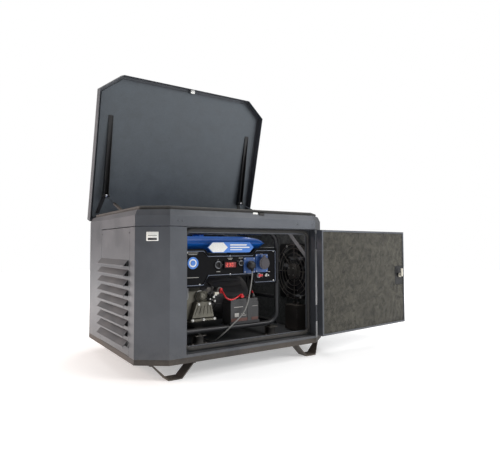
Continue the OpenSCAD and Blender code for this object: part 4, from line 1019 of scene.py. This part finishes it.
class GENERATOR_OT_seals(bpy.types.Operator):
    """Rubber bulb seals round the top rim and the door opening, and the lid's buffer"""

    bl_idname = "generator.seals"
    bl_label = "Seals"

    def execute(self, context):
        foot = context.scene.generator_sizes.seal_foot / MM
        flat, normals = round_corners(cabinet_plan(27)[::-1], 16)
        up = np.zeros((len(flat), 1))
        rim = swept(np.hstack([flat, up + RIM_Z]), np.hstack([normals, up]), (0, 0, 1),
                    bulb(13.6, LINER_Z - RIM_Z - 0.6, foot))
        line = round_rect(375.25 - 8.5, 279 - 8.5, 36, 12)
        step = np.roll(line, -1, 0) - np.roll(line, 1, 0)
        n = np.stack([step[:, 1], -step[:, 0]], -1) / np.linalg.norm(step, axis=1)[:, None]
        zero = np.zeros(len(line))
        door = swept(np.stack([line[:, 0] + 39.25, zero - 368.1, line[:, 1] + 384], -1),
                     np.stack([n[:, 0], zero, n[:, 1]], -1), (0, -1, 0), bulb(16.6, 11.2, foot * 0.7))
        buffer = join(soft_box((30, 15, 9), 2.2, (73, -406.5, 745.4)),
                      soft_box((30, 5, 20), 1.6, (73, -411.5, 740)))
        add_piece("rim_seal", rim, "cabinet", MATERIALS["seal rubber"], 40)
        add_piece("door_seal", door, "cabinet", MATERIALS["seal rubber"], 40,
                  replaces=["rubber_seals"])
        add_piece("lid_buffer", buffer, "cabinet", MATERIALS["seal rubber"], 40)
        return {"FINISHED"}


class GENERATOR_OT_fan(bpy.types.Operator):
    """Seven-bladed cooling fan with twisted, hollow blades, and the guard's screws"""

    bl_idname = "generator.fan"
    bl_label = "Cooling Fan"

    def execute(self, context):
        camber = context.scene.generator_sizes.blade_camber / MM
        r = np.linspace(40, 146.5, 16)[:, None]
        s = (r - 40) / 106.5
        a = 2 * math.pi * np.arange(20)[None] / 20
        # half chord, section, pitch and backward sweep of a blade, from hub to tip
        chord = 26 + 9 * np.sin(s * 2.2)
        u = chord * np.cos(a)
        thick = 1.5 * np.sin(a) + camber * (1 - np.cos(a) ** 2)
        pitch = np.radians(34 - 14 * s)
        sweep = 10 * s ** 2
        across = u * np.cos(pitch) - thick * np.sin(pitch) + sweep
        axial = u * np.sin(pitch) + thick * np.cos(pitch)
        round_r = np.sqrt(np.maximum(r ** 2 - across ** 2, 1)) + 0 * across
        blade = shell(np.stack([FAN[0] + 18 + np.clip(axial, -16.5, 16.5), FAN[1] + across,
                                FAN[2] + round_r], -1))
        blades = [(turn(blade[0], FAN, (1, 0, 0), k * 360 / 7), blade[1]) for k in range(7)]
        hub = ring_lathe([(44, 6.4), (43.2, 5.6), (30, 5.4), (12, 5.2), (8, 5.2), (8, 12), (39, 12),
                          (39, 31.6), (44, 31.8)], FAN, (1, 0, 0), 56)
        spigot = lathe([(11, 3.2), (11, 4.4), (9.8, 5.6), (8.2, 6), (8.2, 20)], FAN, (1, 0, 0), 24)
        add_piece("fan_wheel", join(hub, spigot, *blades), "fan", MATERIALS["knob plastic"],
                  replaces=["fan_rotor"])
        screws = []
        for k in range(4):
            t = math.radians(22.5 + 90 * k)
            screws.append(hex_bolt((FAN[0] - 8.2, FAN[1] + 160 * math.sin(t), FAN[2] + 160 * math.cos(t)),
                                   (-1, 0, 0), 10, 5.2, 7.6))
        for k in range(4):
            t = math.radians(45 + 90 * k)
            screws.append(pan_head((FAN[0] - 26.2, FAN[1] + 28 * math.sin(t), FAN[2] + 28 * math.cos(t)),
                                   (-1, 0, 0), 3.6, 2.6))
        add_piece("guard_screws", join(*screws), "cabinet", MATERIALS["zinc steel"])
        return {"FINISHED"}


class GENERATOR_OT_mounts(bpy.types.Operator):
    """Rubber mounts under the set, with their plates and bolts"""

    bl_idname = "generator.mounts"
    bl_label = "Rubber Mounts"

    def execute(self, context):
        rubber, plates = [], []
        # each mount's middle lies half a foot plate in from the box of all four
        lo, hi = node_box("rubber_mounts")
        half_x, half_y, foot = 44, 28, lo[2]
        for x in (lo[0] + half_x, hi[0] - half_x):
            for y in (lo[1] + half_y, hi[1] - half_y):
                base = (x, y, foot)
                rubber.append(lathe([(27.6, 4), (27.8, 6), (26.4, 9), (23.8, 12), (21.6, 15), (20.6, 20),
                                     (20.2, 27), (20.8, 34), (22.2, 39), (23.4, 43), (23.6, 45.8)],
                                    base, (0, 0, 1), 36))
                plates.append(loft([(43, 25, 5, 0.1), (44, 26, 6, 0.9), (44, 26, 6, 3.2), (43, 25, 5, 4)],
                                   base))
                plates.append(loft([(29, 23, 4, 46), (30, 24, 5, 46.8), (30, 24, 5, 49.4), (29, 23, 4, 50)],
                                   base))
                plates.append(soft_box((60, 3, 43), 0.8, (x, y + 20.5, foot + 25)))
                plates += [hex_bolt((x + s * 36, y, foot + 4), (0, 0, 1), 11, 6, 7.8) for s in (-1, 1)]
                plates.append(hex_bolt((x, y, foot + 50), (0, 0, 1), 15, 12.4, 12))
        add_piece("mount_rubbers", join(*rubber), "cabinet", MATERIALS["seal rubber"], 45,
                  replaces=["rubber_mounts"])
        add_piece("mount_plates", join(*plates), "cabinet", MATERIALS["dull steel"])
        return {"FINISHED"}


def panel_outline(i):
    """Outline of the control panel in X and Z, moved in by i."""
    x0, x1, z0, z1 = -389, 267, 378, 565
    return np.array([(x0 + i, z0 + i), (-176 - i / 2, z0 + i), (-148 - i / 2, z0 + 46 + i),
                     (102 + i / 2, z0 + 46 + i), (118 + i / 2, z0 + i), (x1 - i, z0 + i), (x1 - i, z1 - i),
                     (128 + i / 2, z1 - i), (102 + i / 2, z1 - 26 - i), (-150 - i / 2, z1 - 26 - i),
                     (-174 - i / 2, z1 - i), (x0 + i, z1 - i)])


class GENERATOR_OT_panel(bpy.types.Operator):
    """Dress of the control panel: border line, meter, badge, emblem, screws, lamp and terminal"""

    bl_idname = "generator.panel"
    bl_label = "Control Panel"

    def execute(self, context):
        y = FACE_Y
        forward = (0, -1, 0)
        border, n = round_corners(panel_outline(11), 7, 6)
        zero = np.zeros(len(border))
        line = swept(np.stack([border[:, 0], zero + PANEL_Y - 1.4, border[:, 1]], -1),
                     np.stack([n[:, 0], zero, n[:, 1]], -1), (0, -1, 0),
                     [(-1.5, 0), (1.5, 0), (1.3, 0.5), (0.5, 0.9), (-0.5, 0.9), (-1.3, 0.5)])
        add_piece("panel_border", line, "cabinet", MATERIALS["panel trim"],
                  replaces=["panel_fittings"])
        mx, mz = METER
        bezel = frame_ring(41, 20.5, 4, 7, y, y - 9, (mx, mz))
        add_piece("meter_bezel", bezel, "cabinet", MATERIALS["panel paint"])
        window = loft([(34.4, 14.4, 2, 0), (34.4, 14.4, 2, 3.8), (34, 14, 2, 4)], (mx, y, mz), "y")
        add_piece("meter_window", window, "cabinet", MATERIALS["display dim"])
        digits = []
        # which of the seven strokes each lit figure shows: top, upper pair, middle, lower pair, foot
        shapes = {"2": (1, 0, 1, 1, 1, 0, 1), "3": (1, 0, 1, 1, 0, 1, 1), "0": (1, 1, 1, 0, 1, 1, 1)}
        strokes = [(0, 8, 1), (-4, 4, 0), (4, 4, 0), (0, 0, 1), (-4, -4, 0), (4, -4, 0), (0, -8, 1)]
        for k, figure in enumerate("230"):
            for lit, (dx, dz, flat) in zip(shapes[figure], strokes):
                if lit:
                    hx, hz = (3.1, 0.9) if flat else (0.9, 3.1)
                    digits.append(loft([(hx, hz, 0.6, 0), (hx, hz, 0.6, 0.4), (hx - 0.2, hz - 0.2, 0.6, 0.5)],
                                       (mx - 19 + k * 15 + dx, y - 3.9, mz + dz), "y", 3))
        add_piece("meter_figures", join(*digits), "cabinet", MATERIALS["display lit"])

        badge = prism([(-161, 572), (-134, 546), (86, 546), (112, 572), (86, 599), (-134, 599)],
                      PANEL_Y - 2, PANEL_Y - 7)
        add_piece("badge_plate", badge, "cabinet", MATERIALS["badge blue"])
        white = prism([(-158, 572), (-132, 548.5), (-72, 548.5), (-47, 572), (-72, 596.5), (-132, 596.5)],
                      PANEL_Y - 6.9, PANEL_Y - 9)
        bars = [prism([(-32, 581), (66, 581), (70, 588), (-32, 588)], PANEL_Y - 6.9, PANEL_Y - 7.7, 0.3),
                prism([(-32, 569), (86, 569), (84, 575), (-32, 575)], PANEL_Y - 6.9, PANEL_Y - 7.7, 0.3),
                prism([(-32, 558), (40, 558), (40, 563), (-32, 563)], PANEL_Y - 6.9, PANEL_Y - 7.7, 0.3)]
        add_piece("badge_white", join(white, *bars), "cabinet", MATERIALS["badge white"])
        stays = [soft_box((10, 6, 14), 0.8, (x, PANEL_Y + 1, 555)) for x in (-129, 91)]
        emblem = (EMBLEM[0], y, EMBLEM[1])
        ring = ring_lathe([(29, 0), (29, 2.2), (28.4, 3), (20.4, 3), (19.8, 2.4), (19.8, 0)],
                          emblem, forward, 56)
        disc = lathe([(13, 0), (13, 4.2), (12.2, 5), (5, 5.2)], emblem, forward, 40)
        add_piece("emblem_ring", join(ring, disc), "cabinet", MATERIALS["badge blue"])
        plate = lathe([(20.4, 0), (20.4, 1.8), (12, 1.9)], emblem, forward, 48)
        add_piece("emblem_plate", plate, "cabinet", MATERIALS["badge white"])

        face = [pan_head((px, y, pz), forward, 5, 3) for px, pz in
                ((-268, 548), (-27, 528), (-27, 436), (246, 551), (246, 394), (-200, 392))]
        for (cx, cz), hw, hz in ((SOCKET_SMALL, 29, 34), (SOCKET_LARGE, 33, 41.5)):
            face += [pan_head((cx + i * hw, y - 6, cz + k * hz), forward, 3.4, 2.4)
                     for i in (-1, 1) for k in (-1, 1)]
        earth, lamp = (EARTH_X, y, LOW_ROW_Z), (LAMP_X, y, LOW_ROW_Z)
        terminal = join(hex_bolt(earth, forward, 15.5, 6, 9),
                        lathe([(4, 5), (4, 21.4), (3.4, 22)], earth, forward, 20))
        lamp_ring = ring_lathe([(6.4, 0), (6.4, 3.6), (5.8, 4.2), (4.9, 4.2), (4.7, 3), (4.7, 0)],
                               lamp, forward, 28)
        sleeves = [ring_lathe([(4.05, 0), (4.05, 4), (r - 1, 4), (r, 3.2), (r, 0)], (px, y, pz), forward, 44)
                   for (px, _, pz), r in ((KNOB, 19), (SELECTOR, 14))]
        collar = ring_lathe([(6.05, 0), (6.05, 6), (12, 6), (13, 5), (13, 0)], (FUSE[0], y, FUSE[1]),
                            forward, 40)
        add_piece("face_screws", join(*face, terminal, lamp_ring), "cabinet", MATERIALS["zinc steel"])
        add_piece("knob_sleeves", join(*sleeves, collar, *stays), "cabinet", MATERIALS["fitting trim"])
        ticks = []
        for (px, _, pz), turns, r in ((KNOB, (0, 90), 24), (SELECTOR, (-60, 0, 60), 18)):
            for t in turns:
                q = turn(np.array([[-0.8, 0, r], [0.8, 0, r], [0.8, 0, r + 4.5], [-0.8, 0, r + 4.5]]),
                         np.zeros(3), (0, 1, 0), t) + (px, 0, pz)
                ticks.append(prism(q[:, (0, 2)], y, y - 0.5, 0.1))
        # blank lines where a maker's captions would be, each as (middle x, middle z, width)
        captions = [(-237, 546, 58), (-237, 538, 46), (-237, 427, 64), (mx, mz + 27, 20), (mx, mz + 33, 30),
                    (38, 517, 26), (-96, 451, 22), (88, 437, 22), (166, 536, 18), (216, 441, 16)]
        for px, pz, wide in captions:
            outline = [(px + i * wide / 2, pz + k * 1.3) for i, k in ((-1, -1), (1, -1), (1, 1), (-1, 1))]
            ticks.append(prism(outline, y, y - 0.5, 0.1))
        add_piece("knob_ticks", join(*ticks), "cabinet", MATERIALS["label ink"])
        lens = lathe([(4.7, 0), (4.7, 5), (4.2, 6.6), (3, 7.6), (1.2, 8)], lamp, forward, 24)
        add_piece("lamp_lens", lens, "cabinet", MATERIALS["red plastic"])
        return {"FINISHED"}


class GENERATOR_OT_engine(bpy.types.Operator):
    """Small parts round the engine: cover bolts, spark plug lead, starter solenoid and hoses"""

    bl_idname = "generator.engine"
    bl_label = "Engine Fittings"

    def execute(self, context):
        # the cylinder leans back by this much; its axis starts at root, and up is square to it
        tilt = math.radians(8)
        along = np.array([0, -math.cos(tilt), math.sin(tilt)])
        up = np.array([0, math.sin(tilt), math.cos(tilt)])
        root = np.array([-180.0, -70.0, 262.0])
        east = np.array([1.0, 0, 0])
        bolts = [hex_bolt(root + along * h + east * x + up * z, along, 9, 5, 7)
                 for x, z, h in ((-50, -69, 182), (10, -69, 182), (70, -69, 182), (-10, 6, 177.8),
                                 (50, 6, 177.8))]
        bolts += [hex_bolt((-101.8, y, z), (1, 0, 0), 10, 5, 7.5) for y in (-60, 110) for z in (200, 340)]
        # raised ribs and an oval boss on the cover, and webs down its lower flange
        rib_radius = [1.2, 2.6, 2.8, 2.8, 2.6, 1.2]
        ribs = [tube(np.linspace(root + along * 178 + east * x0 + up * -44,
                                 root + along * 178 + east * x1 + up * 2, 6), rib_radius, 8)
                for x0, x1 in ((-34, -8), (-12, 8), (12, 24), (36, 40), (58, 52))]
        boss = lathe([(14, 0), (13.4, 3), (11, 4.6), (6, 5), (5.4, 3.2), (2, 3)],
                     root + along * 176 + east * 14 + up * 46, along, 32)
        webs = [tube(np.linspace(root + along * 160 + east * x + up * -76,
                                 root + along * 180 + east * x + up * -73, 4), [1, 3, 3, 1], 8)
                for x in (-36, 24, 52)]
        add_piece("cover_ribs", join(boss, *ribs, *webs), "cabinet", MATERIALS["cast alloy"])
        band = ring_lathe([(27.2, 2), (27.8, 3), (27.8, 8), (27.2, 9), (26, 9), (26, 2)],
                          root + along * 148 + east * 14 + up * 46, along, 36)
        add_piece("engine_bolts", join(band, *bolts), "cabinet", MATERIALS["zinc steel"])
        # spark plug lead with its cap, throttle cable, breather hose and the coil's body
        lead = smooth_path([(-118, -204, 322), (-114, -222, 338), (-108, -226, 356), (-104, -206, 378),
                            (-106, -150, 396), (-112, -90, 396), (-124, -40, 388)], 7)
        cap = lathe([(5, 0), (8, 1.5), (8.4, 10), (6.8, 18), (5.4, 25), (3.4, 29)], (-118, -203, 298),
                    (0, -0.05, 1), 24)
        throttle = smooth_path([(-132, -224, 336), (-120, -238, 350), (-100, -240, 352), (-78, -232, 346),
                                (-70, -214, 330), (-74, -190, 312)], 6)
        vent = smooth_path([(-140, -226, 318), (-124, -240, 314), (-104, -244, 302), (-92, -236, 284),
                            (-94, -214, 262), (-100, -180, 248)], 6)
        body = join(soft_box((30, 26, 30), 4, (-104, -212, 322)), soft_box((18, 20, 18), 3, (-84, -206, 300)),
                    lathe([(9, 0), (11, 2), (11, 16), (9, 18)], (-104, -224, 324), (0, -1, 0), 24))
        add_piece("engine_hoses", join(tube(lead, 3.2, 12), cap, tube(throttle, 2.2, 10), tube(vent, 4, 12),
                                       body), "cabinet", MATERIALS["cable black"])
        clips = [ring_lathe([(3.4, -2), (4.2, -2), (4.2, 2), (3.4, 2)], q, d, 16)
                 for q, d in (((-124, -240, 314), (1, -0.2, -0.3)), ((-104, -244, 302), (0.8, 0.1, -0.6)))]
        levers = [loft([(9, 2.2, 1.6, 0), (9, 2.2, 1.6, 2.4), (8.4, 1.8, 1.6, 3)], (-94, -240, 332), "y"),
                  hex_bolt((-104, -242, 324), (0, -1, 0), 8, 3.5, 5.5),
                  hex_bolt((-84, -216, 300), (0, -1, 0), 7, 3, 5)]
        add_piece("throttle_levers", join(*clips, *levers), "cabinet", MATERIALS["zinc steel"])
        add_piece("plug_connector", soft_box((25, 16, 13), 2, (-87, -236, 341)), "cabinet",
                  MATERIALS["cream alloy"])
        # starter solenoid on its bracket, lying fore and aft
        solenoid = lathe([(15, 0), (17, 1), (17, 46), (16, 48), (8, 49), (7, 53)], (-55, -170, 352),
                         (0, -1, 0), 32)
        stud = lathe([(4, 52), (4, 57)], (-55, -170, 352), (0, -1, 0), 16)
        bracket = soft_box((58, 4, 28), 1.2, (-80, -172, 352))
        add_piece("starter_solenoid", join(solenoid, stud, bracket), "cabinet", MATERIALS["dull steel"])
        # thin bent rod under the panel's left end, and the hose from the tank's tap
        stay = smooth_path([(-258, -261, 379), (-258, -261, 360), (-258, -261, 332), (-261, -261, 325),
                            (-270, -261, 322), (-330, -260, 322), (-391, -258, 322)], 6)
        add_piece("panel_stay", tube(stay, 2.8, 12), "cabinet", MATERIALS["fitting trim"])
        hose = smooth_path([(-330, -200, 548), (-344, -232, 520), (-342, -236, 450), (-330, -228, 380),
                            (-306, -206, 330), (-288, -160, 300)], 8)
        add_piece("fuel_hose", tube(hose, 4.2, 12), "cabinet", MATERIALS["cable black"])
        return {"FINISHED"}


class GENERATOR_OT_battery(bpy.types.Operator):
    """Battery band, terminal clamps and boots"""

    bl_idname = "generator.battery"
    bl_label = "Battery Dress"

    def execute(self, context):
        west, front, foot = node_box("battery")[0]
        # the band is broken by the strap that holds the battery down
        band = [soft_box((w, 1.2, 24), 0.5, (west + x, front + 1.5, foot + 13.3))
                for x, w in ((51, 98), (147, 42))]
        add_piece("battery_band", join(*band), "cabinet", MATERIALS["battery band"])
        marks = [soft_box((w, 0.8, h), 0.3, (west + x, front + 1.7, foot + z)) for x, z, w, h in
                 ((47, 81.8, 54, 3.4), (148, 81.8, 34, 2.4), (36, 41.8, 26, 20), (76, 37.8, 34, 2.4),
                  (72, 45.8, 24, 2.0))]
        add_piece("battery_marks", join(*marks), "cabinet", MATERIALS["label ink"])
        boots = {}
        for x, finish in ((west + 80, "cable red"), (west + 150, "cable black")):
            collar = lathe([(8.4, 0), (8.8, 4), (7.6, 10), (6.2, 12)], (x, -246, 318), (0, 0, 1), 24)
            boots[finish] = join(soft_box((20, 24, 12), 3.2, (x, -244, 316)), collar)
        end = join(soft_box((15, 15, 27), 5, (-55, -229, 352)), boots["cable red"])
        add_piece("boot_red", end, "cabinet", MATERIALS["cable red"])
        add_piece("boot_black", boots["cable black"], "cabinet", MATERIALS["cable black"])
        return {"FINISHED"}


class GENERATOR_OT_labels(bpy.types.Operator):
    """Blank label plate on the left corner, and the screws that hold the panels"""

    bl_idname = "generator.labels"
    bl_label = "Label and Screws"

    def execute(self, context):
        # the label lies on the left chamfer: along it, square to it and up
        across, deep = HALF_W - FRONT_X, HALF_D + SIDE_Y
        side = np.array([across, -deep, 0]) / math.hypot(across, deep)
        out = np.array([-deep, -across, 0]) / math.hypot(across, deep)
        up = np.array([0, 0, 1.0])
        centre = np.array([-(HALF_W + FRONT_X) / 2, (SIDE_Y - HALF_D) / 2, 622.0]) + out * 0.05
        o = round_rect(27, 20, 2.5, 4)
        rings = [centre + o[:, :1] * s * side + o[:, 1:] * s * up + out * h
                 for s, h in ((1.0, 0.0), (1.0, 0.4), (0.99, 0.55))]
        add_piece("blank_label", shell(np.stack(rings)), "cabinet", MATERIALS["badge white"])
        stripes = []
        for rise, half in ((-11.5, 5.0), (4.0, 1.0)):
            o = round_rect(20, half, 0.8, 3)
            stripes.append(shell(np.stack([centre + o[:, :1] * side + (o[:, 1:] + rise) * up + out * h
                                           for h in (0.5, 0.75)])))
        add_piece("label_stripes", join(*stripes), "cabinet", MATERIALS["battery case"])
        screws = []
        for y in (-250, 180):
            for z in (130, 640):
                screws += [pan_head((s * HALF_W, y, z), (s, 0, 0), 4.2, 2.4) for s in (-1, 1)]
        for x in (-380, -360, 300, 400):
            screws.append(pan_head((x, -HALF_D, 692), (0, -1, 0), 4.2, 2.4))
        add_piece("panel_screws", join(*screws), "cabinet", MATERIALS["cabinet paint"])
        return {"FINISHED"}


class VIEW3D_PT_generator(bpy.types.Panel):
    """Lists the generator's values and the operators that build it"""

    bl_label = "Generator"
    bl_space_type = "VIEW_3D"
    bl_region_type = "UI"
    bl_category = "Generator"

    def draw(self, context):
        looks, sizes = context.scene.generator_looks, context.scene.generator_sizes
        for group in (looks, sizes):
            for name in group.__annotations__:
                self.layout.prop(group, name)
        for operator in OPERATORS:
            self.layout.operator(operator.bl_idname)


OPERATORS = (GENERATOR_OT_stage, GENERATOR_OT_finishes, GENERATOR_OT_lead, GENERATOR_OT_tank,
             GENERATOR_OT_felts, GENERATOR_OT_seals, GENERATOR_OT_fan, GENERATOR_OT_mounts,
             GENERATOR_OT_panel, GENERATOR_OT_engine, GENERATOR_OT_battery, GENERATOR_OT_labels)
CLASSES = (GeneratorLooks, GeneratorSizes, *OPERATORS, VIEW3D_PT_generator)


def register():
    """Adds the classes and their values to Blender."""
    for c in CLASSES:
        bpy.utils.register_class(c)
    bpy.types.Scene.generator_looks = bpy.props.PointerProperty(type=GeneratorLooks)
    bpy.types.Scene.generator_sizes = bpy.props.PointerProperty(type=GeneratorSizes)


def unregister():
    """Takes them out again."""
    del bpy.types.Scene.generator_sizes
    del bpy.types.Scene.generator_looks
    for c in reversed(CLASSES):
        bpy.utils.unregister_class(c)


def main():
    """Builds the whole scene."""
    register()
    for operator in OPERATORS:
        group, name = operator.bl_idname.split(".")
        getattr(getattr(bpy.ops, group), name)()


if __name__ == "__main__":
    main()
